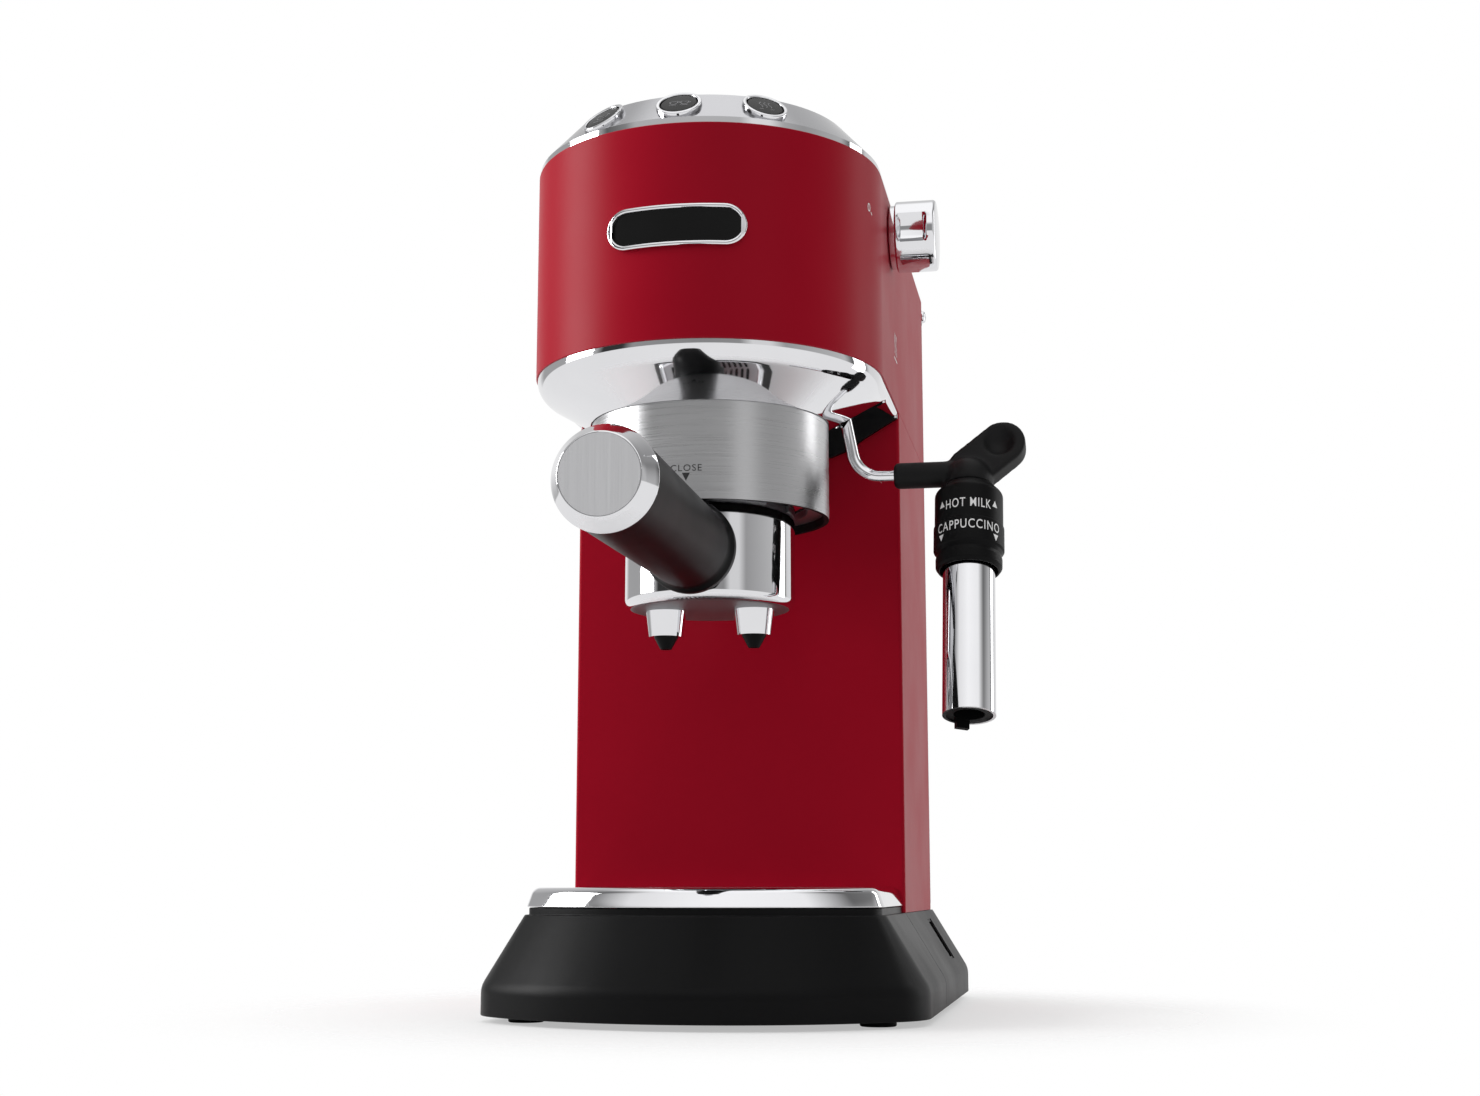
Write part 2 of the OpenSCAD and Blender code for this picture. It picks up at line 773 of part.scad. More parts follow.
wand_y = -38;
arm_z = 185;
bend_r = 10;
pivot = [45.3, wand_y, 205];
pivot_up = [-sin(pipe_lean), 0, cos(pipe_lean)];
bend_corner = [pivot[0] + (pivot[2] - arm_z) * tan(pipe_lean), wand_y, arm_z];
bend_cut = bend_r * tan((90 - pipe_lean) / 2);
sleeve_x = 62;
neck_z = -5.4;

// Frame of the frother: its origin is where its axis meets the arm, and its own Z runs up the axis
module on_frother() {
    translate([frother_x, wand_y, arm_z]) rotate([-frother_tilt, 0, 0]) children();
}

module wand_bush() color(black) placed() difference() {
    intersection() {
        rod(pivot, pivot + pivot_up * 16, 6.5);
        funnel(skirt_t, skirt_t + 0.3, group_top);
    }
    rod(pivot - pivot_up * 4, pivot + pivot_up * 9.4, pipe_r + gap);
    at_group() translate([0, 0, 190]) cylinder(r = collar_hole_r, h = 30);
}

module wand_pipe() color(chrome) placed() {
    bend_top = bend_corner + pivot_up * bend_cut;
    bend_end = bend_corner + [bend_cut, 0, 0];
    lap = 0.4;
    rod(pivot + pivot_up * 9, bend_top - pivot_up * lap, pipe_r);
    translate(bend_end + [0, 0, bend_r]) rotate([90, 0, 0]) rotate([0, 0, pipe_lean - 180])
        rotate_extrude(angle = 90 - pipe_lean) translate([bend_r, 0]) circle(pipe_r + 0.05);
    rod(bend_end - [lap, 0, 0], [sleeve_x + 10, wand_y, arm_z], pipe_r);
}

module wand_elbow() color(black) placed() difference() {
    union() {
        translate([sleeve_x, wand_y, arm_z]) rotate([0, 90, 0])
            rotate_extrude() rounded([[0, 0, 0], [4.6, 0, 1.5], [4.6, frother_x - sleeve_x, 0], [0, frother_x - sleeve_x, 0]]);
        on_frother() intersection() {
            union() {
                translate([0, 0, -2.9]) sphere(8.3);
                translate([0, 0, neck_z]) cylinder(r = 8.3, h = 2.5);
                difference() {
                    translate([0, 6, 0]) rotate([90, 0, 0]) linear_extrude(8.5) tab_outline();
                    translate([10.5, -6.2, 11]) sphere(6.6);
                }
            }
            translate([-20, -20, neck_z]) cube([60, 40, 40]);
        }
    }
    rod([sleeve_x - through, wand_y, arm_z], [sleeve_x + 10, wand_y, arm_z], pipe_r);
}

// The finger tab leans up and out from the elbow
module tab_outline() {
    a = [0.5, 1.4];
    b = [tab_reach, 11];
    side = [-(b - a)[1], (b - a)[0]] / norm(b - a) * tab_r;
    translate(a) circle(tab_r);
    translate(b) circle(tab_r);
    polygon([a + side, b + side, b - side, a - side]);
}

module wand_nozzle() color(black) placed() on_frother() ring(4.2, 1.5, -78, neck_z);

module frother_collar() color(black) placed() on_frother() difference() {
    union() {
        rotate_extrude() rounded([
            [0, -5.7, 0],
            [8.7, -5.7, 0.4],
            [11.7, -9, 2.6],
            [11.7, -31, 0.6],
            [0, -31, 0]
        ]);
        translate([0, 0, -24.8]) cylinder(r = 12.05, h = 9.2);
        rotate_extrude() rounded([[0, -30, 0], [10.9, -30, 0], [10.9, -37.2, 1], [0, -37.2, 0]]);
    }
    translate([0, 0, -50]) cylinder(r = 4.7, h = 60);
    translate([0, 0, -50]) cylinder(r = 8.85, h = 30);
    translate([0, 0, -50]) cylinder(r = 9.9, h = 16.6);
}

sleeve_low = -88.9;

module frother_sleeve() color(chrome) placed() on_frother() ring(8.85, 7.9, sleeve_low, -20);

module frother_insert() color(black) placed() on_frother() {
    ring(7.9, 5.2, sleeve_low + 0.4, -66);
    rotate([0, 0, 115]) translate([5.6, -2.3, sleeve_low - 2.4]) cube([2, 4.6, 2.8]);
}

// ---------- Inside the casing ----------

chassis_wall = [54, 57];
shelf_z = 217;
shelf_t = 3;

module chassis() color(grey) placed() difference() {
    union() {
        block([-inner_w, chassis_wall[0], base_top], [inner_w, chassis_wall[1], head_top]);
        translate([0, 0, shelf_z]) linear_extrude(shelf_t) {
            translate([-inner_w, -50]) square([2 * inner_w, chassis_wall[0] + 50]);
            translate([0, group_y]) circle(46);
        }
        for (side = [-1, 1], z = [80, 150, 200])
            block([side * 50 - 2, chassis_wall[0] - 8, z], [side * 50 + 2, chassis_wall[0], z + 4]);
    }
    at_group() translate([0, 0, shelf_z - through]) cylinder(r = 8, h = 10);
    translate([43, wand_y, shelf_z - through]) cylinder(r = 3, h = 10);
    translate([pump_at[0], pump_at[1], shelf_z - through]) cylinder(r = 5, h = 10);
}

module thermoblock() color([0.6, 0.61, 0.62]) placed() difference() {
    union() {
        translate([0, 0, shelf_z + shelf_t]) linear_extrude(30) rounded_box(-36, 36, -88, -17, 8);
        at_group() translate([0, 0, group_top]) cylinder(r = 6, h = 5);
        translate([0, 0, shelf_z + shelf_t + 30]) linear_extrude(4) rounded_box(-28, 28, -80, -25, 14);
    }
    at_group() translate([0, 0, group_top - through]) cylinder(r = 1.6, h = 12);
    translate([0, 0, shelf_z + shelf_t + 31]) linear_extrude(4) rounded_box(-20, 20, -72, -33, 8);
}

coil_z = [52, 92];

module pump() color([0.35, 0.35, 0.37]) placed() translate([pump_at[0], pump_at[1], 0]) {
    block([-20, -19, coil_z[0]], [20, 19, coil_z[1]]);
    translate([0, 0, 44]) cylinder(r = 9, h = 81);
    translate([0, 0, 40]) cylinder(r = 3, h = 89);
}

module pump_mounts() color(black) placed() for (x = [-20, 10])
    block([pump_at[0] + x, pump_at[1] - 12, base_top], [pump_at[0] + x + 10, pump_at[1] + 12, coil_z[0]]);

module water_hoses() color([0.85, 0.85, 0.8]) placed() {
    x = pump_at[0];
    y = pump_at[1];
    bent_tube([[dock_at[0], dock_at[1] - 12, 27], [dock_at[0], 50, 24], [x, y + 4, 20], [x, y, 25], [x, y, 40]], 3);
    bent_tube([[x, y, 129], [x, y, 228], [x, y - 16, 235], [x, -17, 235]], 3);
}

module control_board() color([0.1, 0.35, 0.2]) placed() {
    block([-46, 50, 136], [46, 51.6, 206]);
    for (x = [-40, 40], z = [142, 200])
        rod([x, 51.6, z], [x, chassis_wall[0], z], 2.5);
    block([-38, 34, 176], [-14, 50, 200]);
    block([4, 36, 172], [34, 50, 192]);
    for (x = [-36:12:24]) rod([x, 50, 152], [x, 38, 152], 4);
}

// ---------- Water tank ----------

tank_x = inner_w - 0.9;
tank_y0 = side_back + 0.2 - tank_d;
tank_flange_x = half_w - 0.5;
tank_z = [37.2, 279.3];
hinge_y = 105.4;
hinge_z = 283.6;
hinge_r = 3.9;
pin_r = 1.4;
knuckle_x = [40.3, 47.7];

// Plan of the tank: its body between the side walls and a wider back that closes the casing
module tank_plan(inset) {
    translate([-tank_x + inset, tank_y0 + inset])
        square([2 * (tank_x - inset), side_back + 3 - tank_y0]);
    rounded([
        [-tank_flange_x + inset, side_back + gap + inset, 0],
        [tank_flange_x - inset, side_back + gap + inset, 0],
        [tank_flange_x - inset, base_back - inset, 3],
        [-tank_flange_x + inset, base_back - inset, 3]
    ]);
}

module water_tank() color([0.5, 0.5, 0.52, 0.6]) placed() difference() {
    union() {
        translate([0, 0, tank_z[0]]) linear_extrude(tank_z[1] - tank_z[0]) tank_plan(0);
        for (side = [-1, 1]) mirror([side > 0 ? 0 : 1, 0, 0]) {
            rod([knuckle_x[0], hinge_y, hinge_z], [knuckle_x[1], hinge_y, hinge_z], 3.4);
            block([knuckle_x[0], hinge_y - 1, tank_z[1] - 1], [knuckle_x[1], base_back - 0.3, hinge_z]);
            rod([knuckle_x[0] - 5, hinge_y, hinge_z], [knuckle_x[1] + 5, hinge_y, hinge_z], pin_r);
        }
    }
    difference() {
        translate([0, 0, tank_z[0] + 2.5]) linear_extrude(300) tank_plan(tank_wall);
        for (side = [-1, 1]) mirror([side > 0 ? 0 : 1, 0, 0])
            block([knuckle_x[0] - 6, hinge_y - 5, tank_z[1]], [knuckle_x[1] + 6, base_back, 300]);
    }
    translate([dock_at[0], dock_at[1], 30]) cylinder(r = 6, h = 20);
}

module tank_valve() color(black) placed() translate([dock_at[0], dock_at[1], 0]) difference() {
    union() {
        translate([0, 0, tank_z[0]]) cylinder(r = 6, h = 2.5);
        translate([0, 0, tank_z[0] + 2.5]) cylinder(r = 8, h = 2);
        translate([0, 0, 30]) cylinder(r = 4.6, h = tank_z[0] - 30);
    }
    translate([0, 0, 29]) cylinder(r = 2.2, h = 20);
}

module tank_lid() color(black) placed() difference() {
    union() {
        translate([0, 0, tank_z[1] + 1.7]) linear_extrude(head_top - 0.5 - tank_z[1] - 1.7)
            rounded_box(-tank_x, tank_x, tank_y0 + 0.4, side_back - 0.4, 2);
        block([-tank_x, side_back - 4, 283], [tank_x, hinge_y, 287.2]);
        rod([-half_w + 0.5, hinge_y, hinge_z], [half_w - 0.5, hinge_y, hinge_z], hinge_r);
    }
    block([-tank_x + 3, tank_y0 + 3.4, 270], [tank_x - 3, side_back - 3.4, 285.5]);
    for (side = [-1, 1]) mirror([side > 0 ? 0 : 1, 0, 0])
        block([knuckle_x[0] - gap, side_back - 0.4, 270], [knuckle_x[1] + gap, base_back + 5, 295]);
    for (side = [-1, 1])
        rod([side * 34.8, hinge_y, hinge_z], [side * 53.2, hinge_y, hinge_z], pin_r + gap);
    translate([0, tank_y0 - 4, head_top + 6]) rotate([0, 90, 0]) cylinder(r = 12, h = 30, center = true);
}

module tank_dock() color(black) placed() translate([dock_at[0], dock_at[1], 0]) difference() {
    union() {
        translate([0, 0, 22]) cylinder(r = 9, h = base_top - 22);
        translate([0, 0, base_top]) cylinder(r = 12, h = 1.8);
        rod([0, 0, 27], [0, -12, 27], 2.6);
    }
    translate([0, 0, 24]) cylinder(r = 7.2, h = 20);
    rod([0, 0, 27], [0, -13, 27], 1.5);
}

module dock_seal() color([0.3, 0.12, 0.08]) placed() translate([dock_at[0], dock_at[1], 0])
    ring(7.2, 5, 31, 34);

base_shell();
base_plate();
rubber_feet();
base_screws();
switch_housing();
switch_rocker();
cord_gland();
drip_tray();
tray_float();
grid_rim();
grid_plate();
column_shell();
head_shell();
skirt();
underside_fairing();
badge_rim();
badge_plate();
control_panel();
button_bezels();
button_one_cup();
button_two_cups();
button_steam();
button_switches();
cup_warmer();
group_collar();
group_head();
group_gasket();
shower_screen();
screen_screw();
portafilter_body();
filter_basket();
spouts();
spout_tips();
handle_stud();
handle_grip();
handle_cap();
cap_disc();
steam_knob();
valve_spindle();
steam_valve();
steam_tubes();
wand_bush();
wand_pipe();
wand_elbow();
wand_nozzle();
frother_collar();
frother_sleeve();
frother_insert();
chassis();
thermoblock();
pump();
pump_mounts();
water_hoses();
control_board();
water_tank();
tank_valve();
tank_lid();
tank_dock();
dock_seal();
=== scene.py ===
# %% [markdown]
# # A slim espresso machine
# This script dresses the machine's measured solids. The solids come from the frame, which already
# knows what moves with what. Here they get soft edges, finishes, print, a floor, lights and a
# camera. The scene is in metres, and its origin is on the table under the middle of the outline.

# %% Load the frame
import json
import math
import bmesh
import bpy
from mathutils import Matrix, Vector


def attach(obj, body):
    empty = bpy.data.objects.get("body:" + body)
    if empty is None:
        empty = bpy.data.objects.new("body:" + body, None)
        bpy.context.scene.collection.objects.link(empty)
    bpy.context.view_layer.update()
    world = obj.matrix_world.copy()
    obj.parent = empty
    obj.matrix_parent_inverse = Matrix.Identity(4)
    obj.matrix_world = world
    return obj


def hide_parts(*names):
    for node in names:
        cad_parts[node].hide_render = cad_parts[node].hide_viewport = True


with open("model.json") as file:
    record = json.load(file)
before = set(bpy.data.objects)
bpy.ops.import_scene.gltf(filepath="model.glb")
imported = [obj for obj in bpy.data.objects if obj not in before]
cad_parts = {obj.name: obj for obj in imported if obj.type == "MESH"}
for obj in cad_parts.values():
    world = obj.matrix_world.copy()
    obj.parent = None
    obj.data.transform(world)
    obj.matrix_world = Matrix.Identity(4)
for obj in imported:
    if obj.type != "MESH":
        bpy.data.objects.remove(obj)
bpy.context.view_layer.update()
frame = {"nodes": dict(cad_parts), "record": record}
MM = 0.001

# %% [markdown]
# ## Measuring from the middle of the base
# The outline reaches further to the right and to the front than the base does, so the frame's
# origin isn't under the base's middle. Places on the machine are easier to give about the base's
# middle, in millimetres, and one helper moves them into the frame.

# %% Places on the machine
SHIFT = Vector((-16.6, 49.2, 0.0))
GROUP_Y = -55.3


def at(x, y, z):
    """A place given in millimetres about the middle of the base."""
    return (Vector((x, y, z)) + SHIFT) * MM


print("middle of the base", at(0, 0, 0)[:])

# %% [markdown]
# ## Camera
# The machine is looked at from low down, a little to its right, with the lens level with the drip
# tray and pointing slightly up. The place and the turn were solved from edges that are straight on
# the real object, so they are written down as numbers.

# %% Camera
camera_data = bpy.data.cameras.new("camera")
camera_data.sensor_width = 36
camera_data.lens = 48.485
camera = bpy.data.objects.new("camera", camera_data)
camera.location = at(131.0, -718.6, 43.8)
camera.rotation_euler = (math.radians(99.64), 0, math.radians(10.30))
bpy.context.collection.objects.link(camera)
bpy.context.scene.camera = camera
print("camera at", [round(c, 4) for c in camera.location])

# %% [markdown]
# ## Shared effects
# Moulded plastic, sprayed paint and rolled metal all have a fine relief and a roughness that drifts
# over a hand's width. Brushed metal has streaks along one direction. A lighter colour along the
# bevelled edges is a painted highlight, the line of light that an edge catches. Each effect is a
# node group made once, and a finish tunes it by its inputs. Object coordinates keep it fixed to the
# piece.
# Small helpers add nodes and fill their sockets.

# %% Node helpers
def fill(tree, node, sockets):
    """Fills sockets, by name or number, with plain values or with links from other nodes."""
    for socket, value in sockets.items():
        if isinstance(value, bpy.types.NodeSocket):
            tree.links.new(value, node.inputs[socket])
        else:
            node.inputs[socket].default_value = value
    return node


def add_node(tree, kind, sockets=None, **settings):
    """A new node. Its settings come first, because they decide which sockets it has."""
    node = tree.nodes.new(kind)
    for name, value in settings.items():
        setattr(node, name, value)
    return fill(tree, node, sockets or {})


def maths(tree, operation, *values):
    """The result of one Math node."""
    return add_node(tree, "ShaderNodeMath", dict(enumerate(values)), operation=operation).outputs[0]


print("node helpers ready")

# %% Group helper
def new_group(name, inputs, outputs):
    """An empty shader group from the inputs' values and the outputs' names, and its two ends."""
    tree = bpy.data.node_groups.new(name, "ShaderNodeTree")
    for label, value in inputs.items():
        kind = "NodeSocketVector" if isinstance(value, tuple) else "NodeSocketFloat"
        tree.interface.new_socket(label, in_out="INPUT", socket_type=kind).default_value = value
    for label in outputs:
        tree.interface.new_socket(label, in_out="OUTPUT", socket_type="NodeSocketFloat")
    return tree, tree.nodes.new("NodeGroupInput").outputs, tree.nodes.new("NodeGroupOutput")


def spread(tree, source, start):
    """Maps the middle of a noise's range to the group's Low and High."""
    return add_node(tree, "ShaderNodeMapRange", {
        "Value": source, "From Min": 0.3, "From Max": 0.7,
        "To Min": start["Low"], "To Max": start["High"]}).outputs["Result"]


print("group helpers ready")

# %% Grain group
def grain_group():
    """Fine moulded or sprayed grain: a height for bump, and a value and a tint that drift."""
    tree, start, end = new_group(
        "fine_grain", {"Scale": 900.0, "Patch Scale": 30.0, "Low": 0.3, "High": 0.5},
        ["Height", "Value", "Drift"])
    place = add_node(tree, "ShaderNodeTexCoord").outputs["Object"]
    fine = add_node(tree, "ShaderNodeTexNoise", {
        "Vector": place, "Scale": start["Scale"], "Detail": 3}).outputs["Fac"]
    patch = add_node(tree, "ShaderNodeTexNoise", {
        "Vector": place, "Scale": start["Patch Scale"], "Detail": 4}).outputs["Fac"]
    fill(tree, end, {"Height": fine, "Value": spread(tree, patch, start), "Drift": patch})
    return tree


GRAIN = grain_group()
print("group", GRAIN.name)

# %% Brushed group
def brushed_group():
    """Streaks of rolled or turned metal. Density sets how fast the streaks change on each axis."""
    tree, start, end = new_group(
        "brushed_streaks", {"Density": (20.0, 20.0, 3000.0), "Low": 0.2, "High": 0.4},
        ["Height", "Value", "Drift"])
    place = add_node(tree, "ShaderNodeTexCoord").outputs["Object"]
    stretched = add_node(tree, "ShaderNodeVectorMath", {0: place, 1: start["Density"]},
                         operation="MULTIPLY").outputs["Vector"]
    streak = add_node(tree, "ShaderNodeTexNoise", {
        "Vector": stretched, "Scale": 1, "Detail": 5, "Roughness": 0.65}).outputs["Fac"]
    fill(tree, end, {"Height": streak, "Value": spread(tree, streak, start), "Drift": streak})
    return tree


BRUSHED = brushed_group()
print("group", BRUSHED.name)

# %% Painted edge highlight group
def edge_sheen_group():
    """A mask of the bevelled edges, broken up by noise, where a lighter colour paints the highlight
    that an edge catches.
    """
    tree, start, end = new_group("worn_edges", {"Amount": 0.5, "Scale": 250.0}, ["Mask"])
    edge = add_node(tree, "ShaderNodeAttribute", attribute_name="worn_edge").outputs["Fac"]
    place = add_node(tree, "ShaderNodeTexCoord").outputs["Object"]
    rub = add_node(tree, "ShaderNodeTexNoise", {
        "Vector": place, "Scale": start["Scale"], "Detail": 4}).outputs["Fac"]
    patchy = maths(tree, "MULTIPLY", edge, rub)
    fill(tree, end, {"Mask": maths(tree, "MULTIPLY", patchy, start["Amount"])})
    return tree


EDGE_SHEEN = edge_sheen_group()
print("group", EDGE_SHEEN.name)

# %% [markdown]
# ## Finishes
# Each finish is one Principled shader with the grain or the streaks, and coated ones also have a
# painted highlight along their bevelled edges. The paint is a deep red with a weak, wide gloss, so
# its specular level is low. The chrome is nearly a mirror: what it shows is the room.

# %% Finish maker
FINISH = {}
DRIFT = 0.06
RELIEF = 0.0002


def mix_colors(tree, share, first, second):
    """The colour that lies a share of the way from the first to the second."""
    return add_node(tree, "ShaderNodeMix", {0: share, 6: first, 7: second},
                    data_type="RGBA").outputs[2]


def finish(name, color, metallic=0.0, roughness=(0.3, 0.45), grain=900.0, bump=0.03,
           streaks=None, sheen_color=None, specular=0.5):
    """A Principled finish with a fine grain, or with streaks where their density is given.
    Its colour drifts a little to either side and turns to the lighter sheen colour, a painted
    highlight, along the bevelled edges."""
    mat = bpy.data.materials.new(name)
    mat.use_nodes = True
    tree = mat.node_tree
    low, high = roughness
    pattern = {"Density": streaks} if streaks else {"Scale": grain}
    effect = add_node(tree, "ShaderNodeGroup", {**pattern, "Low": low, "High": high},
                      node_tree=BRUSHED if streaks else GRAIN).outputs
    ends = [(*(c * share for c in color), 1) for share in (1 - DRIFT, 1 + DRIFT)]
    tint = mix_colors(tree, effect["Drift"], *ends)
    # The bevelled edges turn to a lighter colour: a painted highlight.
    if sheen_color:
        mask = add_node(tree, "ShaderNodeGroup", node_tree=EDGE_SHEEN).outputs["Mask"]
        tint = mix_colors(tree, mask, tint, (*sheen_color, 1))
    relief = add_node(tree, "ShaderNodeBump", {
        "Strength": bump, "Distance": RELIEF, "Height": effect["Height"]}).outputs["Normal"]
    fill(tree, tree.nodes["Principled BSDF"], {
        "Base Color": tint, "Metallic": metallic, "Roughness": effect["Value"],
        "Specular IOR Level": specular, "Normal": relief})
    FINISH[name] = mat


print("finish maker ready")

# %% Paint, plastic and rubber
# The lighter edge colours given to the red paint and the black plastic are painted highlights.
finish("red_paint", (0.37, 0.0024, 0.016), roughness=(0.36, 0.42), grain=2500, bump=0.05,
       sheen_color=(0.62, 0.06, 0.09), specular=0.07)
finish("black_plastic", (0.0052, 0.0052, 0.0055), roughness=(0.36, 0.44), grain=2600, bump=0.10,
       sheen_color=(0.03, 0.03, 0.03), specular=0.08)
finish("gloss_black", (0.004, 0.004, 0.004), roughness=(0.22, 0.28), bump=0.01, specular=0.2)
finish("rubber", (0.006, 0.006, 0.0065), roughness=(0.5, 0.6), grain=2500, bump=0.08, specular=0.2)
finish("tank_grey", (0.16, 0.16, 0.17), roughness=(0.2, 0.3), bump=0.01)
finish("lid_grey", (0.05, 0.05, 0.055), roughness=(0.3, 0.4), bump=0.05)
finish("float_red", (0.5, 0.01, 0.008), roughness=(0.2, 0.3), bump=0.01)
finish("inner_plastic", (0.10, 0.10, 0.11), roughness=(0.35, 0.5), bump=0.04)
finish("hose", (0.5, 0.5, 0.46), roughness=(0.3, 0.4), bump=0.01)
finish("board", (0.01, 0.09, 0.04), roughness=(0.3, 0.4), bump=0.02)
print(len(FINISH), "finishes")

# %% Metals and print
finish("chrome", (0.80, 0.80, 0.82), metallic=1, roughness=(0.03, 0.06), bump=0.0)
finish("satin_metal", (0.55, 0.55, 0.57), metallic=1, roughness=(0.10, 0.14), grain=4000,
       bump=0.02)
finish("brushed_steel", (0.56, 0.56, 0.57), metallic=1, roughness=(0.25, 0.36), bump=0.06,
       streaks=(30.0, 30.0, 4000.0))
finish("rolled_steel", (0.42, 0.42, 0.43), metallic=1, roughness=(0.30, 0.40), bump=0.05,
       streaks=(30.0, 4000.0, 30.0))
finish("disc_steel", (0.72, 0.72, 0.735), metallic=1, roughness=(0.42, 0.5), bump=0.04,
       streaks=(3000.0, 30.0, 30.0))
# The cast alloy is its own grey, darkened further as painted shade for the group head inside the
# collar.
finish("cast_alloy", (0.30, 0.30, 0.31), metallic=1, roughness=(0.4, 0.55), bump=0.15)
finish("brass", (0.6, 0.42, 0.16), metallic=1, roughness=(0.2, 0.3), bump=0.02)
finish("sheet_steel", (0.35, 0.35, 0.36), metallic=1, roughness=(0.35, 0.45), bump=0.04)
# This dark serves the print and, in the hole and cross patterns, painted shade.
finish("print_dark", (0.02, 0.02, 0.022), roughness=(0.4, 0.5), bump=0.0)
finish("print_white", (0.9, 0.9, 0.9), roughness=(0.4, 0.5), bump=0.0)
finish("print_grey", (0.22, 0.22, 0.23), roughness=(0.4, 0.5), bump=0.0)
print(len(FINISH), "finishes in all")

# %% [markdown]
# ## Smoother surfaces and soft edges
# The frame's meshes are loose triangles, which shade flat. Where the solid already has the right
# form, a copy is welded and shaded smooth across gentle angles, and stands for the solid. The
# pressed shells and the moulded base also get a narrow bevel, because a real edge always catches a
# line of light, and two bevels side by side show the thin dark seam between two pieces.

# %% Soften a mesh
WELD = 2e-6
FLAT = math.radians(0.4)


def weigh_normals(mesh):
    """Large faces shade flat and the narrow strips of the bevels carry the whole turn."""
    sums = [Vector() for _ in mesh.vertices]
    for face in mesh.polygons:
        for corner in face.vertices:
            sums[corner] += face.normal * face.area
    mesh.normals_split_custom_set_from_vertices([total.normalized() for total in sums])


def soften(mesh, angle=32, bevel=0.0):
    """Welds a mesh, bevels its sharp edges, and shades smooth the edges under the angle."""
    bm = bmesh.new()
    bm.from_mesh(mesh)
    bmesh.ops.remove_doubles(bm, verts=bm.verts, dist=WELD)
    limit = math.radians(angle)
    if bevel:
        bmesh.ops.dissolve_limit(bm, angle_limit=FLAT, verts=bm.verts, edges=bm.edges)
        sharp = [e for e in bm.edges if len(e.link_faces) == 2 and e.calc_face_angle(0) > limit]
        # The bevel strips are marked for the lighter edge colour, a painted highlight.
        sheen_layer = bm.faces.layers.float.new("worn_edge")
        strips = bmesh.ops.bevel(bm, geom=sharp, offset=bevel * MM, offset_type="OFFSET",
                                 segments=2, profile=0.5, affect="EDGES", clamp_overlap=False)
        for face in strips["faces"]:
            face[sheen_layer] = 1.0
    for face in bm.faces:
        face.smooth = True
    for edge in bm.edges:
        edge.smooth = len(edge.link_faces) == 2 and edge.calc_face_angle(0) < limit
    bm.to_mesh(mesh)
    bm.free()
    if bevel:
        weigh_normals(mesh)


print("softening ready")

# %% Stand for a solid
PIECE = {}
NODE_BODY = {node: body for body, nodes in frame["record"]["behaviour"]["bodies"].items()
             for node in nodes}


def add_object(name, mesh):
    """An object at the origin, in the scene's own collection."""
    obj = bpy.data.objects.new(name, mesh)
    bpy.context.collection.objects.link(obj)
    return obj


def stand_for(piece, node):
    """The piece rides as the solid does and takes its place."""
    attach(piece, NODE_BODY[node])
    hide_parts(node)
    PIECE[node] = piece


def dress(node, finish_name, bevel=0.0):
    """Stands a welded, smooth copy of a solid in its place."""
    mesh = frame["nodes"][node].data.copy()
    mesh.materials.clear()
    mesh.materials.append(FINISH[finish_name])
    soften(mesh, bevel=bevel)
    stand_for(add_object("smooth_" + node, mesh), node)


# %% Dress the solids
BY_FINISH = {
    "red_paint": ["column_shell", "head_shell"],
    "black_plastic": ["base_shell", "base_plate", "drip_tray", "switch_housing", "switch_rocker",
                      "cord_gland", "underside_fairing", "spout_tips", "handle_grip", "wand_nozzle",
                      "frother_collar", "frother_insert", "tank_valve", "tank_dock", "wand_bush"],
    "gloss_black": ["badge_plate", "button_one_cup", "button_two_cups", "button_steam"],
    "rubber": ["rubber_feet", "wand_elbow", "pump_mounts", "group_gasket", "dock_seal"],
    "chrome": ["grid_rim", "skirt", "badge_rim", "button_bezels", "portafilter_body", "spouts",
               "handle_cap", "steam_knob", "wand_pipe", "frother_sleeve"],
    "satin_metal": ["control_panel"],
    "brushed_steel": ["group_collar", "filter_basket", "shower_screen", "screen_screw",
                      "handle_stud", "base_screws", "valve_spindle", "steam_tubes"],
    "rolled_steel": ["grid_plate", "cup_warmer"],
    "disc_steel": ["cap_disc"],
    "float_red": ["tray_float"],
    "tank_grey": ["water_tank"],
    "lid_grey": ["tank_lid"],
    "cast_alloy": ["group_head", "thermoblock"],
    "brass": ["steam_valve"],
    "inner_plastic": ["pump", "button_switches"],
    "hose": ["water_hoses"],
    "sheet_steel": ["chassis"],
    "board": ["control_board"],
}
BEVEL = {"column_shell": 0.35, "head_shell": 0.35, "badge_rim": 0.5, "drip_tray": 0.3,
         "base_shell": 0.3, "tank_lid": 0.3}
OWN_SHAPE = ("steam_knob", "frother_collar", "skirt", "wand_elbow", "grid_rim")
for finish_name, nodes in BY_FINISH.items():
    for node in nodes:
        if node not in OWN_SHAPE:
            dress(node, finish_name, bevel=BEVEL.get(node, 0.0))
print("dressed", len(PIECE), "solids")

# %% [markdown]
# ## A second material on part of a piece
# The filter holder's faces that turn down get a darker, duller metal, which is painted shade. The
# faces of the group's collar that look inwards or down are black, painted shade for its dark
# inside.
# The panel has a polished lower band. The pieces could be cut apart, but each is one casting or
# pressing. So faces picked by their place and their normal point to a second material.

# %% Second finish
HOLDER_UNDERSIDE, PANEL_BAND = 139, 291.2


def second_finish(node, finish_name, chosen):
    """Gives the faces that chosen(centre, normal) picks another finish, in millimetres."""
    mesh = PIECE[node].data
    mesh.materials.append(FINISH[finish_name])
    count = 0
    for face in mesh.polygons:
        if chosen(face.center / MM - SHIFT, face.normal):
            face.material_index = len(mesh.materials) - 1
            count += 1
    print(node, finish_name, count, "faces")


def faces_axis(centre, normal):
    """True where a face looks inwards, to the brewing group's axis, or down."""
    outward = Vector((centre.x, centre.y - GROUP_Y, 0)).normalized()
    return normal.dot(outward) < -0.5 or normal.z < -0.8
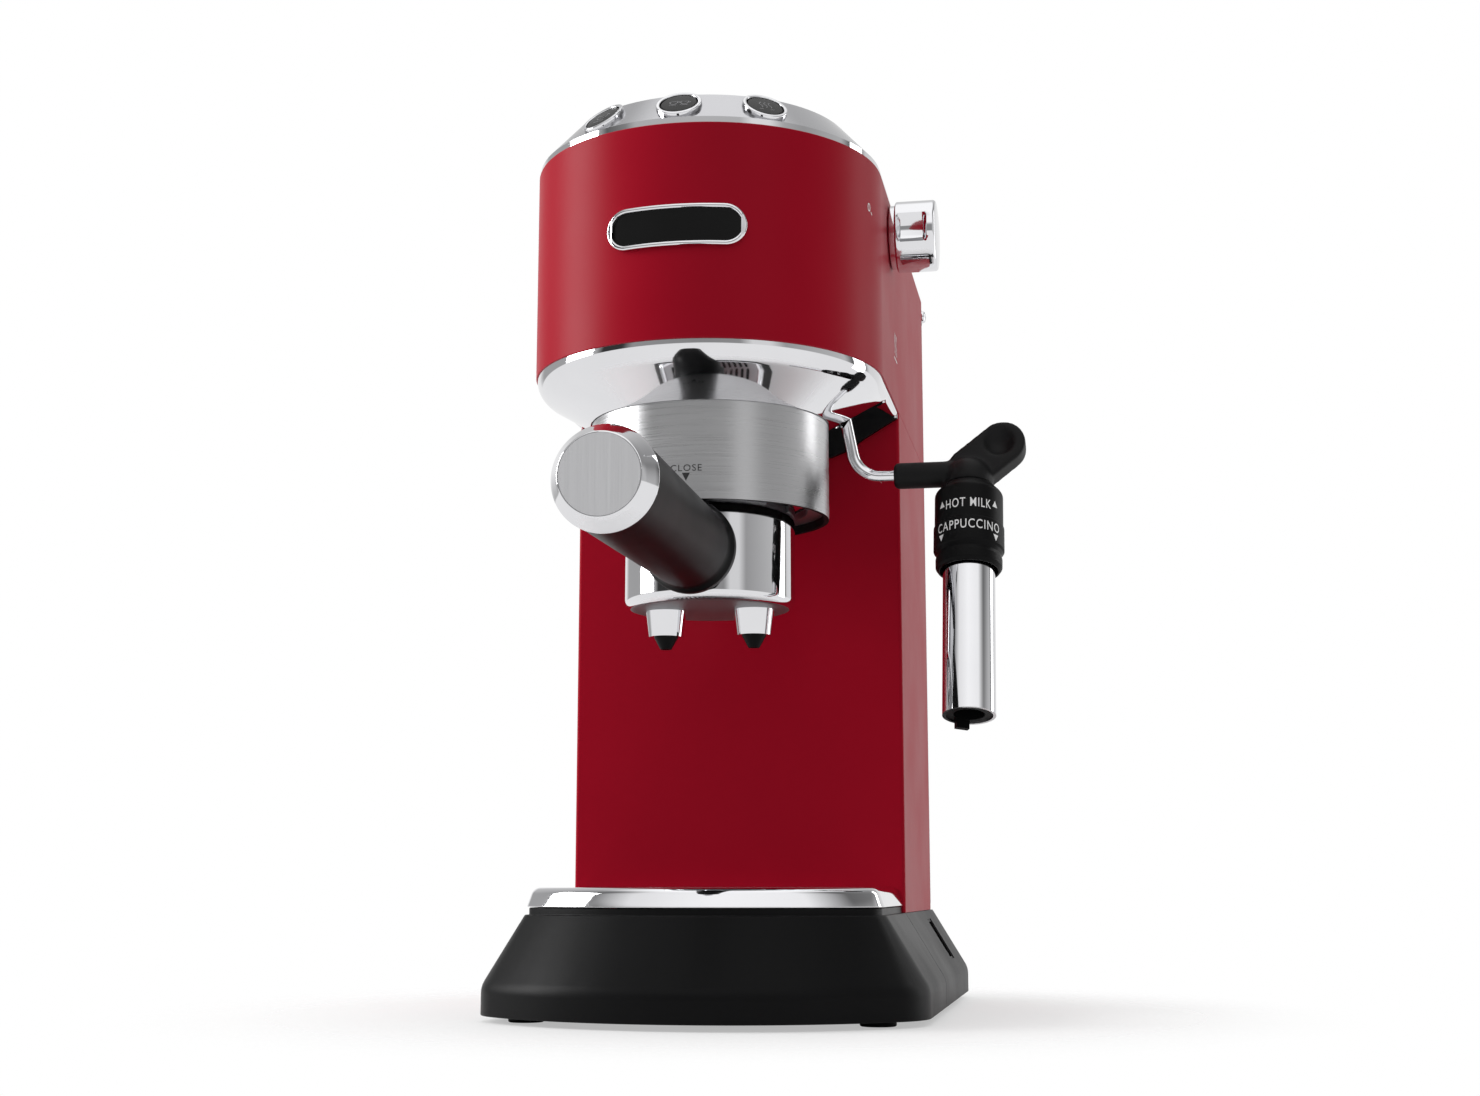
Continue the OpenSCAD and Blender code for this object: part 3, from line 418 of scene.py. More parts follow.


# The darker metal under the filter holder and the black inside the collar are painted shade.
finish("dull_nickel", (0.25, 0.25, 0.26), metallic=1, roughness=(0.45, 0.55), bump=0.05)
finish("shadow_black", (0.006, 0.006, 0.006), roughness=(0.5, 0.6), bump=0.05, specular=0.1)
second_finish("portafilter_body", "dull_nickel",
              lambda place, normal: normal.z < -0.9 and place.z < HOLDER_UNDERSIDE)
second_finish("group_collar", "shadow_black", faces_axis)
second_finish("control_panel", "chrome",
              lambda place, normal: place.z < PANEL_BAND and abs(normal.z) < 0.4)

# %% [markdown]
# ## Turned pieces
# A knob, a collar and a pin head are round about an axis. Their profile is a list of corners, each
# with the radius that rounds it, and it is swept round the axis. A Screw modifier could sweep it
# too, but here a reshape function may move each point in or out on the way.

# %% Rounded profile
IN_MM = Matrix.Scale(MM, 4)


def rounded_path(corners, steps=5):
    """A closed outline in millimetres from (radius, height, rounding) corners."""
    path = []
    for i, (r, z, rounding) in enumerate(corners):
        here = Vector((r, z))
        if not rounding:
            path.append(here)
            continue
        back = (Vector(corners[i - 1][:2]) - here).normalized()
        ahead = (Vector(corners[(i + 1) % len(corners)][:2]) - here).normalized()
        half = back.angle(ahead) / 2
        middle = here + (back + ahead).normalized() * rounding / math.sin(half)
        first = here + back * rounding / math.tan(half) - middle
        last = here + ahead * rounding / math.tan(half) - middle
        start = math.atan2(first.y, first.x)
        sweep = (math.atan2(last.y, last.x) - start + math.pi) % (2 * math.pi) - math.pi
        path += [middle + rounding * Vector((math.cos(start + sweep * k / steps),
                                             math.sin(start + sweep * k / steps)))
                 for k in range(steps + 1)]
    return path


square = rounded_path([(0, 0, 1), (9, 0, 1), (9, 9, 1), (0, 9, 1)])
print("a rounded square has", len(square), "points")

# %% Closed strips
def closed_form(name, rings, finish_name, angle=32):
    """Joins equal rings of points round an axis into one closed, smooth mesh."""
    n, turns = len(rings[0]), len(rings)
    faces = [(i * n + j, i * n + (j + 1) % n, (i + 1) % turns * n + (j + 1) % n,
              (i + 1) % turns * n + j) for i in range(turns) for j in range(n)]
    mesh = bpy.data.meshes.new(name)
    mesh.from_pydata([p for ring in rings for p in ring], [], faces)
    mesh.materials.append(FINISH[finish_name])
    bm = bmesh.new()
    bm.from_mesh(mesh)
    bmesh.ops.remove_doubles(bm, verts=bm.verts, dist=WELD)
    bmesh.ops.recalc_face_normals(bm, faces=bm.faces)
    bm.to_mesh(mesh)
    bm.free()
    soften(mesh, angle)
    return add_object(name, mesh)


def turned(name, corners, place, finish_name, steps=96, reshape=None):
    """Sweeps a profile round the local Z axis of a place."""
    path = rounded_path(corners)
    rings = []
    for turn in [2 * math.pi * i / steps for i in range(steps)]:
        points = [(reshape(p.x, p.y, turn) if reshape else p.x, p.y) for p in path]
        rings.append([place @ Vector((r * math.cos(turn), r * math.sin(turn), z))
                      for r, z in points])
    return closed_form(name, rings, finish_name)


print("turning ready")

# %% [markdown]
# ## Steam knob
# The knob is a chromed cap with two finger flutes. Two cylinders could be cut out of it, but that
# leaves hard edges. Here each point of the turned profile is pushed inwards by the depth of the
# flute's circle at its turn, with soft shoulders, and the depth eases to nothing before the face.

# %% Knob
KNOB_R, FLUTE_R, FLUTE_AXIS = 12.8, 7, 16.2
BESIDE_FLUTE, SHOULDER = -1.8, 0.4


def ease(x, start, stop):
    """Goes smoothly from 0 to 1 while x goes from start to stop."""
    t = min(max((x - start) / (stop - start), 0), 1)
    return t * t * (3 - 2 * t)


def flute(r, z, turn):
    """Two round flutes, whose axes lie beside the knob's own, with soft shoulders."""
    across = FLUTE_AXIS * abs(math.cos(turn))
    depth = BESIDE_FLUTE - (across - FLUTE_R)
    if across < FLUTE_R:
        depth = r - FLUTE_AXIS * abs(math.sin(turn)) + math.sqrt(FLUTE_R ** 2 - across * across)
    ends = ease(z, 2.9, 4.3) * (1 - ease(z, 12.2, 13.9))
    return r - ends * (depth + math.sqrt(depth * depth + SHOULDER ** 2)) / 2


KNOB = Matrix.Translation(at(60.8, -25, 276)) @ Matrix.Rotation(math.pi / 2, 4, "Y") @ IN_MM
grip = [(KNOB_R, 2.9 + 0.35 * i, 0) for i in range(5)]
grip += [(KNOB_R, 12.1 + 0.3 * i, 0) for i in range(7)]
stand_for(turned("knob", [(0, 9, 0), (3, 9, 0), (3, 0, 0), (11.5, 0, 0.4), (11.5, 2.1, 0),
                          (KNOB_R, 2.1, 0.7), *grip, (KNOB_R, 16.5, 1.1), (8.5, 16.95, 0),
                          (4, 17.15, 0), (0, 17.2, 0)],
                 KNOB, "chrome", steps=144, reshape=flute), "steam_knob")
print("knob", [round(v, 4) for v in PIECE["steam_knob"].dimensions])

# %% [markdown]
# ## Collar of the milk frother
# The collar is moulded round its axis: a rounded shoulder, an upper band, a slightly wider lower
# band and a stepped mouth. Its profile alone gives all of it, so it is turned without reshaping. It
# leans with the steam pipe.

# %% Frother collar
FROTHER = Matrix.Translation(at(88, -38, 185)) @ Matrix.Rotation(math.radians(-15), 4, "X") @ IN_MM
UPPER_BAND, LOWER_BAND, SLEEVE_BORE = 11.7, 12.05, 8.86
stand_for(turned("collar_of_frother", [
    (4.7, -5.7, 0), (8.7, -5.7, 0.5), (UPPER_BAND, -9, 2.6), (UPPER_BAND, -21.3, 0.15),
    (LOWER_BAND, -21.7, 0.2), (LOWER_BAND, -29.9, 0.2), (11.5, -30.5, 0.2), (11.0, -31.8, 0.5),
    (11.35, -33.2, 0.5), (11.3, -36.0, 0.6), (10.5, -37.2, 0.5), (9.9, -37.2, 0), (9.9, -33.4, 0),
    (SLEEVE_BORE, -33.4, 0), (SLEEVE_BORE, -20, 0), (4.7, -20, 0)],
    FROTHER, "black_plastic"), "frother_collar")
print("collar", [round(v, 4) for v in PIECE["frother_collar"].dimensions])

# %% [markdown]
# ## Hinge pins
# The tank's lid turns on a pin with a small domed head at each rear corner. The solids leave the
# heads out, so two low domes are turned about the hinge's axis. They ride with the lid.

# %% Hinge pins
for side, name in ((1, "right"), (-1, "left")):
    place = Matrix.Translation(at(side * 60, 105.4, 283.6)) \
        @ Matrix.Rotation(side * math.pi / 2, 4, "Y") @ IN_MM
    pin = turned("hinge_pin_" + name, [(0, 0, 0), (2.5, 0, 0), (2.5, 1.5, 0.9), (0, 2.1, 0)],
                 place, "chrome", steps=48)
    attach(pin, NODE_BODY["tank_lid"])
print("hinge pins on", NODE_BODY["tank_lid"])

# %% [markdown]
# ## Chromed skirt
# The skirt is one pressed sheet: a cone about the brewing group that rolls up into the head's
# outline, and two flat corners at the back. A large rolled edge decides what the chrome shows, so
# the sheet is laid out here ray by ray from the group's axis. Each ray gives one closed section.

# %% Skirt section
GROUP = Matrix.Translation(at(0, GROUP_Y, 0)) @ IN_MM
SIDE_X, REAR_Y = 60.0, -3 - GROUP_Y
BORE_R, MOUTH_R, MOUTH_Z = 41.3, 41.5, 201
CONE_SLOPE, CONE_RISE, FLAT_Z = math.tan(math.radians(60)), 12.8, 213.8
ROLL_R, ROLL_TOP, WALL_TOP = 7.6, 216.1, 216.4
WALL, SHEET = 1.3, 1.6


def underside(r):
    """Height of the cone, and of the flat beyond it, at a distance from the group's axis."""
    return min(MOUTH_Z + (r - MOUTH_R) / CONE_SLOPE, FLAT_Z)


def between(start, stop, steps):
    """Even steps from start to stop, with both of them."""
    return [start + (stop - start) * k / steps for k in range(steps + 1)]


def skirt_section(turn):
    """The sheet's section, in millimetres, along one ray; turn runs from the front."""
    s, c = abs(math.sin(turn)), math.cos(turn)
    reach = SIDE_X if c >= 0 else SIDE_X / max(s, 1e-6)
    at_wall = c >= 0 or reach <= REAR_Y / -c
    if not at_wall:
        reach = REAR_Y / -c
    foot = underside(reach)
    lean = math.radians(30 if foot < FLAT_Z - 0.01 else 0)
    half = (math.pi / 2 - lean) / 2
    run = min(ROLL_R * math.tan(half), ROLL_TOP - foot) if at_wall else 0
    start = reach - math.cos(lean) * run
    crease = min(MOUTH_R + CONE_RISE * CONE_SLOPE, start)
    outline = [(BORE_R, MOUTH_Z)]
    outline += [(r, underside(r)) for r in
                between(MOUTH_R, crease, 6) + between(crease, start, 3)[1:]]
    roll = run / math.tan(half)
    outline += [(reach - roll + roll * math.cos(a), foot + run + roll * math.sin(a))
                for a in between(lean - math.pi / 2, 0, 10)[1:]]
    inner = reach - (WALL if at_wall else 0)
    top = WALL_TOP if at_wall else foot + SHEET
    outline += [(reach, top), (inner, top)]
    outline += [(r, underside(r) + SHEET) for r in between(inner, BORE_R, 8)]
    return [GROUP @ Vector((r * math.sin(turn), -r * math.cos(turn), z)) for r, z in outline]


print("points in a section", len(skirt_section(0)))

# %% Skirt
corner = math.pi - math.atan2(SIDE_X, REAR_Y)
turns = sorted([math.radians(a) for a in range(-180, 180, 3)]
               + [side * corner + step for side in (1, -1) for step in (-1e-5, 1e-5)])
skirt = closed_form("pressed_skirt", [skirt_section(t) for t in turns], "chrome", angle=25)
print("pressed sheet", len(skirt.data.polygons), "faces")

# %% [markdown]
# ## Hole for the steam pipe
# The steam pipe passes through the skirt. A Boolean modifier cuts the hole with a leaning cylinder,
# because the hole follows no line of the sheet's mesh. The result is kept as a plain mesh.

# %% Pipe hole
HOLE_R, HOLE_LENGTH = 4.3 * MM, 30 * MM


def plain_mesh(obj):
    """The object's mesh with its modifiers applied, or its text as a mesh."""
    graph = bpy.context.evaluated_depsgraph_get()
    return bpy.data.meshes.new_from_object(obj.evaluated_get(graph), depsgraph=graph)


bm = bmesh.new()
bmesh.ops.create_cone(bm, cap_ends=True, segments=48, radius1=HOLE_R, radius2=HOLE_R,
                      depth=HOLE_LENGTH)
bm.transform(Matrix.Translation(at(45.3, -38, 205)) @ Matrix.Rotation(math.radians(-11), 4, "Y"))
drill = add_object("drill", bpy.data.meshes.new("drill"))
bm.to_mesh(drill.data)
bm.free()
skirt.modifiers.new("pipe_hole", "BOOLEAN").object = drill
sheet = plain_mesh(skirt)
skirt.modifiers.clear()
skirt.data = sheet
bpy.data.objects.remove(drill)
stand_for(skirt, "skirt")
print("skirt", len(skirt.data.polygons), "faces")

# %% [markdown]
# ## Rim of the cup grid
# The chromed rim follows the bowed front of the base at a fixed distance. Its outer face leans in a
# little and rolls over into the top. One function gives the plan at any distance inside the base's
# edge, from true arcs that meet in their tangents, and the rim is that plan at each profile point.

# %% Plan of the front
HALF_WIDTH, CORNER, FRONT_R = 74.5, Vector((50, -64.7)), 97.0
ARC_MIDDLE = Vector((0, -12.2))
TURN_OVER = math.degrees(math.atan2(CORNER.y - ARC_MIDDLE.y, CORNER.x))


def around(middle, radius, start, stop, steps):
    """Points on a circle, from one angle to another, in degrees."""
    return [middle + radius * Vector((math.cos(t), math.sin(t)))
            for t in map(math.radians, between(start, stop, steps))]


def front_plan(inset, back):
    """The closed outline at a distance inside the base's edge; back is its straight rear edge."""
    x = HALF_WIDTH - inset
    right = [Vector((x, y)) for y in between(back, CORNER.y, 4)[:-1]]
    right += around(CORNER, x - CORNER.x, 0, TURN_OVER, 8)
    middle = around(ARC_MIDDLE, FRONT_R - inset, TURN_OVER, -180 - TURN_OVER, 40)[1:-1]
    left = [Vector((-p.x, p.y)) for p in reversed(right)]
    return right + middle + left


print("outline points", len(front_plan(15, -3.3)))

# %% Rim
RIM_FOOT, RIM_TOP = 37.1, 43.5
OUTER_BACK, INNER_BACK = -3.3, -8.0
section = rounded_path([(14.6, RIM_FOOT, 0.3), (16.8, RIM_TOP, 3.2), (22, RIM_TOP, 0.5),
                        (22, RIM_FOOT, 0)], steps=8)
loops = [front_plan(p.x, OUTER_BACK if p.x < 21.4 else INNER_BACK) for p in section]
rings = [[at(*loop[i], p.y) for loop, p in zip(loops, section)] for i in range(len(loops[0]))]
stand_for(closed_form("rolled_rim", rings, "chrome"), "grid_rim")
print("rim", [round(v, 4) for v in PIECE["grid_rim"].dimensions])

# %% [markdown]
# ## Moulded rubber elbow
# The elbow that holds the frother is one soft moulding: arm, ball and finger tab flow into each
# other. The solid has the right forms with sharp meetings. A voxel remesh makes one even skin of
# them, and rounds of smoothing melt the meetings, as the mould's fillets do.

# %% Melt the elbow
def melted(node, name, finish_name, voxel, rounds):
    """Stands a remeshed, smoothed copy of a solid in its place; voxel is in millimetres."""
    mesh = frame["nodes"][node].data.copy()
    soften(mesh)
    piece = add_object(name, mesh)
    skin = piece.modifiers.new("skin", "REMESH")
    skin.mode = "VOXEL"
    skin.voxel_size = voxel * MM
    skin.use_smooth_shade = True
    melt = piece.modifiers.new("melt", "SMOOTH")
    melt.iterations = rounds
    melt.factor = 0.5
    piece.data = plain_mesh(piece)
    piece.modifiers.clear()
    piece.data.materials.clear()
    piece.data.materials.append(FINISH[finish_name])
    stand_for(piece, node)


melted("wand_elbow", "moulded_elbow", "rubber", voxel=0.45, rounds=30)
print("elbow", len(PIECE["wand_elbow"].data.polygons), "faces")

# %% [markdown]
# ## Print
# Machines of this kind carry a few plain marks: which way the holder closes, what each key does,
# where the knob is shut, and which way the milk frother is set. The type is made flat with
# Blender's own font, and a function then bends each point onto the surface that carries it.

# %% Surfaces that carry print
def round_face(drum, radius, height, turn):
    """Bends flat print, in millimetres, round a drum; turn is degrees to the right of the front."""
    def place(x, y):
        a = math.radians(turn) + x / radius
        return drum @ Vector((radius * math.sin(a), -radius * math.cos(a), height + y))
    return place


def flat_face(sheet):
    """Lays flat print on a plane whose matrix points its Z out of the surface."""
    return lambda x, y: sheet @ Vector((x, y, 0))


ON_COLLAR, ON_HEAD = 41.04, 60.54
PROUD = 0.11
ON_UPPER_BAND, ON_LOWER_BAND = UPPER_BAND + PROUD, LOWER_BAND + PROUD
ZERO = round_face(GROUP, ON_HEAD, 271.6, 73.8)
print("print on the frother at radii", ON_UPPER_BAND, ON_LOWER_BAND)

# %% Type
def lettering(name, text, width, height, finish_name, body, place, bold=0.0):
    """A word as a thin mesh, fitted to a width and a height in millimetres, on a surface."""
    curve = bpy.data.curves.new(name, "FONT")
    curve.body = text
    curve.resolution_u = 4
    curve.offset = bold
    curve.space_character = 1.16
    maker = add_object("type_maker", curve)
    mesh = plain_mesh(maker)
    bpy.data.objects.remove(maker)
    xs = [v.co.x for v in mesh.vertices]
    ys = [v.co.y for v in mesh.vertices]
    mid_x, mid_y = (min(xs) + max(xs)) / 2, (min(ys) + max(ys)) / 2
    for v in mesh.vertices:
        v.co = place((v.co.x - mid_x) * width / (max(xs) - min(xs)),
                     (v.co.y - mid_y) * height / (max(ys) - min(ys)))
    mesh.materials.clear()
    mesh.materials.append(FINISH[finish_name])
    mesh.name = name
    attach(add_object(name, mesh), body)


lettering("print_close", "CLOSE", 10.4, 2.2, "print_dark", "machine",
          round_face(GROUP, ON_COLLAR, 178.3, 0))
lettering("print_hot_milk", "HOT MILK", 16.4, 3.4, "print_white", "frother",
          round_face(FROTHER, ON_UPPER_BAND, -16.4, 3), bold=0.007)
lettering("print_cappuccino", "CAPPUCCINO", 24.2, 3.4, "print_white", "frother",
          round_face(FROTHER, ON_LOWER_BAND, -24.6, 3), bold=0.007)
lettering("print_zero", "0", 2.2, 3.0, "print_white", "machine", ZERO)
print("words laid")

# %% Strokes and filled shapes
def marks(name, shapes, finish_name, body, place):
    """Flat polygons, in millimetres, laid on a surface as one mesh."""
    verts, faces = [], []
    for shape in shapes:
        faces.append(list(range(len(verts), len(verts) + len(shape))))
        verts += [place(x, y) for x, y in shape]
    mesh = bpy.data.meshes.new(name)
    mesh.from_pydata(verts, [], faces)
    mesh.materials.append(FINISH[finish_name])
    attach(add_object(name, mesh), body)


def stroke(points, width):
    """A bent line as a row of four-sided shapes."""
    sides = []
    for i, p in enumerate(points):
        a = Vector(points[max(i - 1, 0)])
        b = Vector(points[min(i + 1, len(points) - 1)])
        across = Vector((a.y - b.y, b.x - a.x)).normalized() * width / 2
        sides.append((Vector(p) - across, Vector(p) + across))
    return [[a0, b0, b1, a1] for (a0, a1), (b0, b1) in zip(sides, sides[1:])]


def arc(x, y, r, start, end, steps=10):
    """Points on a circle about (x, y), from one angle to another, in degrees."""
    return around(Vector((x, y)), r, start, end, steps)


def triangle(x, y, size):
    """Points up for a positive size and down for a negative one. Both signs wind the same way."""
    return [(x - size / 2, y - size / 2), (x + size / 2, y - size / 2), (x, y + size / 2)]


print("a ring has", len(stroke(arc(0, 0, 1, 0, 360, 20), 0.5)), "shapes")

# %% Triangles and dash
marks("mark_close", [triangle(0, 0, -2.7)], "print_dark", "machine",
      round_face(GROUP, ON_COLLAR, 175.3, 0))
marks("mark_hot_milk", [triangle(-10.1, 0, 2.4), triangle(10.1, 0, 2.4)], "print_white",
      "frother", round_face(FROTHER, ON_UPPER_BAND, -15.6, 3))
marks("mark_cappuccino", [triangle(-10.4, 0, -2.4), triangle(10.4, 0, -2.4)], "print_white",
      "frother", round_face(FROTHER, ON_LOWER_BAND, -28.3, 3))
marks("mark_zero", stroke([(1.6, -1.2), (2.7, -2.0)], 0.5), "print_white", "machine", ZERO)
print("triangles laid")

# %% Switch and tank marks
SLOPE_RUN, SLOPE_RISE = 14, 23.1
rocker_x = HALF_WIDTH - SLOPE_RUN / SLOPE_RISE * 12.5
ROCKER = (Matrix.Translation(at(rocker_x, 69, 24))
          @ Matrix.Rotation(math.atan(SLOPE_RISE / SLOPE_RUN), 4, "Y")
          @ Matrix.Translation((0, 0, -4 * MM)) @ Matrix.Rotation(math.radians(-5), 4, "Y")
          @ Matrix.Rotation(math.pi / 2, 4, "Z") @ IN_MM)
TANK_BACK = flat_face(Matrix.Translation(at(34, 109.26, 232)) @ Matrix.Rotation(math.pi, 4, "Z")
                      @ Matrix.Rotation(math.pi / 2, 4, "X") @ IN_MM)


def rocker_face(x, y):
    """The rocker's top is a shallow valley: 2 mm over its pins and 2.6 mm at its ends."""
    return ROCKER @ Vector((x, y, 2.04 + 0.6 * abs(y) / 7))


marks("mark_on", stroke([(-1.4, -4.2), (1.4, -4.2)], 0.5), "print_white", "power_rocker",
      rocker_face)
marks("mark_off", stroke(arc(0, 4.2, 1.3, 0, 360, 20), 0.5), "print_white", "power_rocker",
      rocker_face)
lettering("print_max", "MAX", 11, 3.6, "print_white", "tank", TANK_BACK)
marks("mark_max", stroke([(-9, -4), (9, -4)], 0.6), "print_white", "tank", TANK_BACK)
print("switch and tank marked")

# %% [markdown]
# ## Pictures on the keys
# The keys show one cup, two cups and steam. Each picture is a few strokes on the key's slightly
# domed top. The steam sign is printed once more on the head's side, where the knob's swing begins.
# Strokes are made of plain four-sided shapes, because they bend onto any surface point by point.

# %% Pictures
THICK, THIN = 0.28, 0.22
KEY_LOW, KEY_HIGH = Vector((60, 291.1)), Vector((49, 303))
KEY_TOP, KEY_DOME = 1.34, 0.3


def cup(x, size):
    """A cup seen from the side, with its handle and saucer."""
    bowl = [(x - size, 0.55 * size), *arc(x, 0.1 * size, size * 0.95, 200, 340),
            (x + size, 0.55 * size)]
    lines = stroke(bowl, THICK) + stroke([bowl[0], bowl[-1]], THICK)
    lines += stroke(arc(x + size * 1.05, 0.1 * size, size * 0.4, -90, 90, 6), THIN)
    return lines + stroke([(x - size, -1.25 * size), (x + size, -1.25 * size)], THICK)


def steam(size):
    """Three rising wisps over a line."""
    lines = stroke([(-size, -size), (size, -size)], 0.12 * size)
    for x in (-0.6 * size, 0, 0.6 * size):
        wisp = [(x + 0.16 * size * math.sin(t * 1.1), size * (-0.65 + t * 0.22)) for t in range(8)]
        lines += stroke(wisp, 0.12 * size)
    return lines


def key_face(turn):
    """The domed top of a key on the sloping panel, by degrees to the right of the front."""
    radius, height = (KEY_LOW + KEY_HIGH) / 2
    rise = KEY_HIGH - KEY_LOW
    sheet = (GROUP @ Matrix.Rotation(math.radians(turn), 4, "Z")
             @ Matrix.Translation((0, -radius, height))
             @ Matrix.Rotation(math.atan(rise.y / -rise.x), 4, "X"))
    return lambda x, y: sheet @ Vector((x, y, KEY_TOP - KEY_DOME * math.hypot(x, y) / 6.1))


marks("picture_one_cup", cup(0, 2.2), "print_grey", "one_cup_key", key_face(-30))
marks("picture_two_cups", cup(-1.6, 1.35) + cup(2.0, 1.35), "print_grey", "two_cups_key",
      key_face(0))
marks("picture_steam", steam(2.6), "print_grey", "steam_key", key_face(30))
HEAD_SIDE = Matrix.Translation(at(ON_HEAD, -12, 239)) @ Matrix.Rotation(math.pi / 2, 4, "Z") \
    @ Matrix.Rotation(math.pi / 2, 4, "X") @ IN_MM
marks("picture_steam_side", steam(5.2), "print_white", "machine", flat_face(HEAD_SIDE))
print("pictures laid")

# %% [markdown]
# ## Perforated sheets
# The shower screen and the bottom of the basket are thin steel with many small holes. The holes
# follow a rule, so a Geometry Nodes tree lays them: a grid, every second row shifted by half a
# step, only the points inside a circle kept, and one small dark disc at each. The holes are not
# cut:
# each dark disc is painted shade, the dark that a hole shows. The discs sit just proud of the
# sheet, which is enough at this size and costs few faces.

# %% Pattern helpers
def pattern_tree(name, inputs):
    """A Geometry Nodes tree with named inputs, and the sockets that bring them in."""
    tree = bpy.data.node_groups.new(name, "GeometryNodeTree")
    face = tree.interface
    face.new_socket("Geometry", in_out="OUTPUT", socket_type="NodeSocketGeometry")
    for label, value in inputs.items():
        kind = "NodeSocketInt" if isinstance(value, int) else "NodeSocketFloat"
        face.new_socket(label, in_out="INPUT", socket_type=kind).default_value = value
    face.new_socket("Material", in_out="INPUT", socket_type="NodeSocketMaterial")
    return tree, tree.nodes.new("NodeGroupInput").outputs


def repeat(tree, start, points, shape):
    """Puts the shape on every point, makes the copies real and gives them the material."""
    each = add_node(tree, "GeometryNodeInstanceOnPoints", {"Points": points, "Instance": shape})
    real = add_node(tree, "GeometryNodeRealizeInstances", {"Geometry": each.outputs["Instances"]})
    paint = add_node(tree, "GeometryNodeSetMaterial", {
        "Geometry": real.outputs["Geometry"], "Material": start["Material"]})
    add_node(tree, "NodeGroupOutput", {"Geometry": paint.outputs["Geometry"]})


print("pattern helpers ready")

# %% Hole pattern
ROW_STEP = math.sin(math.pi / 3)
HOLE_CORNERS = 12


def hole_pattern():
    """Discs in rows that are each shifted by half a step against the next, inside a circle."""
    tree, start = pattern_tree("hole_pattern", {
        "Steps": 17, "Pitch": 0.003, "Keep Radius": 0.02, "Hole Radius": 0.0005})
    steps, pitch = start["Steps"], start["Pitch"]
    span = maths(tree, "MULTIPLY", maths(tree, "SUBTRACT", steps, 1), pitch)
    grid = add_node(tree, "GeometryNodeMeshGrid", {
        "Size X": span, "Size Y": maths(tree, "MULTIPLY", span, ROW_STEP),
        "Vertices X": steps, "Vertices Y": steps}).outputs["Mesh"]
    index = add_node(tree, "GeometryNodeInputIndex").outputs["Index"]
    odd_row = maths(tree, "MODULO", maths(tree, "MODULO", index, steps), 2)
    shift = maths(tree, "MULTIPLY", odd_row, maths(tree, "MULTIPLY", pitch, 0.5))
    offset = add_node(tree, "ShaderNodeCombineXYZ", {"X": shift}).outputs["Vector"]
    rows = add_node(tree, "GeometryNodeSetPosition", {"Geometry": grid, "Offset": offset})
    place = add_node(tree, "GeometryNodeInputPosition").outputs["Position"]
    away = add_node(tree, "ShaderNodeVectorMath", {0: place}, operation="LENGTH").outputs["Value"]
    kept = add_node(tree, "GeometryNodeDeleteGeometry", {
        "Geometry": rows.outputs["Geometry"],
        "Selection": maths(tree, "GREATER_THAN", away, start["Keep Radius"])})
    disc = add_node(tree, "GeometryNodeMeshCircle", {
        "Vertices": HOLE_CORNERS, "Radius": start["Hole Radius"]}, fill_type="NGON")
    repeat(tree, start, kept.outputs["Geometry"], disc.outputs["Mesh"])
    return tree


HOLES = hole_pattern()
print("nodes in the pattern", len(HOLES.nodes))

# %% Run the pattern
def grow(tree, name, body, place, turned_down=False, **inputs):
    """Runs a Geometry Nodes tree once and keeps its mesh as one piece, without the modifier."""
    host = add_object("pattern_host", bpy.data.meshes.new("pattern_host"))
    modifier = host.modifiers.new("pattern", "NODES")
    modifier.node_group = tree
    # The dark discs and crosses are painted shade for holes and recesses.
    inputs["Material"] = FINISH["print_dark"]
    for item in tree.interface.items_tree:
        if item.in_out == "INPUT":
            modifier[item.identifier] = inputs[item.name.replace(" ", "_")]
    mesh = plain_mesh(host)
    bpy.data.objects.remove(host)
    mesh.name = name
    turn = Matrix.Rotation(math.pi if turned_down else 0, 4, "X")
    mesh.transform(Matrix.Translation(place) @ turn)
    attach(add_object(name, mesh), body)
    print(name, len(mesh.polygons), "faces")


grow(HOLES, "screen_holes", "machine", at(0, GROUP_Y, 184.77), turned_down=True,
     Steps=25, Pitch=0.0022, Keep_Radius=0.0225, Hole_Radius=0.00045)
grow(HOLES, "basket_holes", "filter_holder", at(0, GROUP_Y, 157.4),
     Steps=31, Pitch=0.0016, Keep_Radius=0.019, Hole_Radius=0.0003)

# %% [markdown]
# ## Screw recesses
# Four screws hold the base plate. Each head has a cross recess, which is not cut: a second small
# tree lays one flat dark cross, painted shade, at each corner of a rectangle whose two sizes are
# inputs.

# %% Cross pattern
def cross_pattern():
    """A cross of two bars at each corner of a rectangle."""
    tree, start = pattern_tree("cross_pattern", {
        "Span X": 0.1, "Span Y": 0.1, "Arm": 0.003, "Slot": 0.0008})

    def rectangle(across, along):
        """A rectangle of one face, by the names of the two inputs that size it."""
        return add_node(tree, "GeometryNodeMeshGrid", {
            "Size X": start[across], "Size Y": start[along],
            "Vertices X": 2, "Vertices Y": 2}).outputs["Mesh"]

    cross = add_node(tree, "GeometryNodeJoinGeometry")
    for bar in (rectangle("Arm", "Slot"), rectangle("Slot", "Arm")):
        tree.links.new(bar, cross.inputs["Geometry"])
    repeat(tree, start, rectangle("Span X", "Span Y"), cross.outputs["Geometry"])
    return tree


grow(cross_pattern(), "screw_crosses", "machine", at(0, 56, 2.27), turned_down=True,
     Span_X=0.106, Span_Y=0.084, Arm=0.0034, Slot=0.0008)

# %% [markdown]
# ## Floor and light
# The floor is a wide white sheet that fades out round the machine, so no horizon shows. The room is
# dark in front and white behind, as in a studio where the machine stands before a white backdrop.
# That gives the chrome its dark lines and the paint its deep middle. One soft box stands at the
# left and a weak one at the right behind the machine.

# %% Floor
WHITE = (1, 1, 1, 1)
FLOOR_SIZE = 3
FADE_START, FADE_END = 0.09, 0.22
CAMERA_LIFT = 0.45


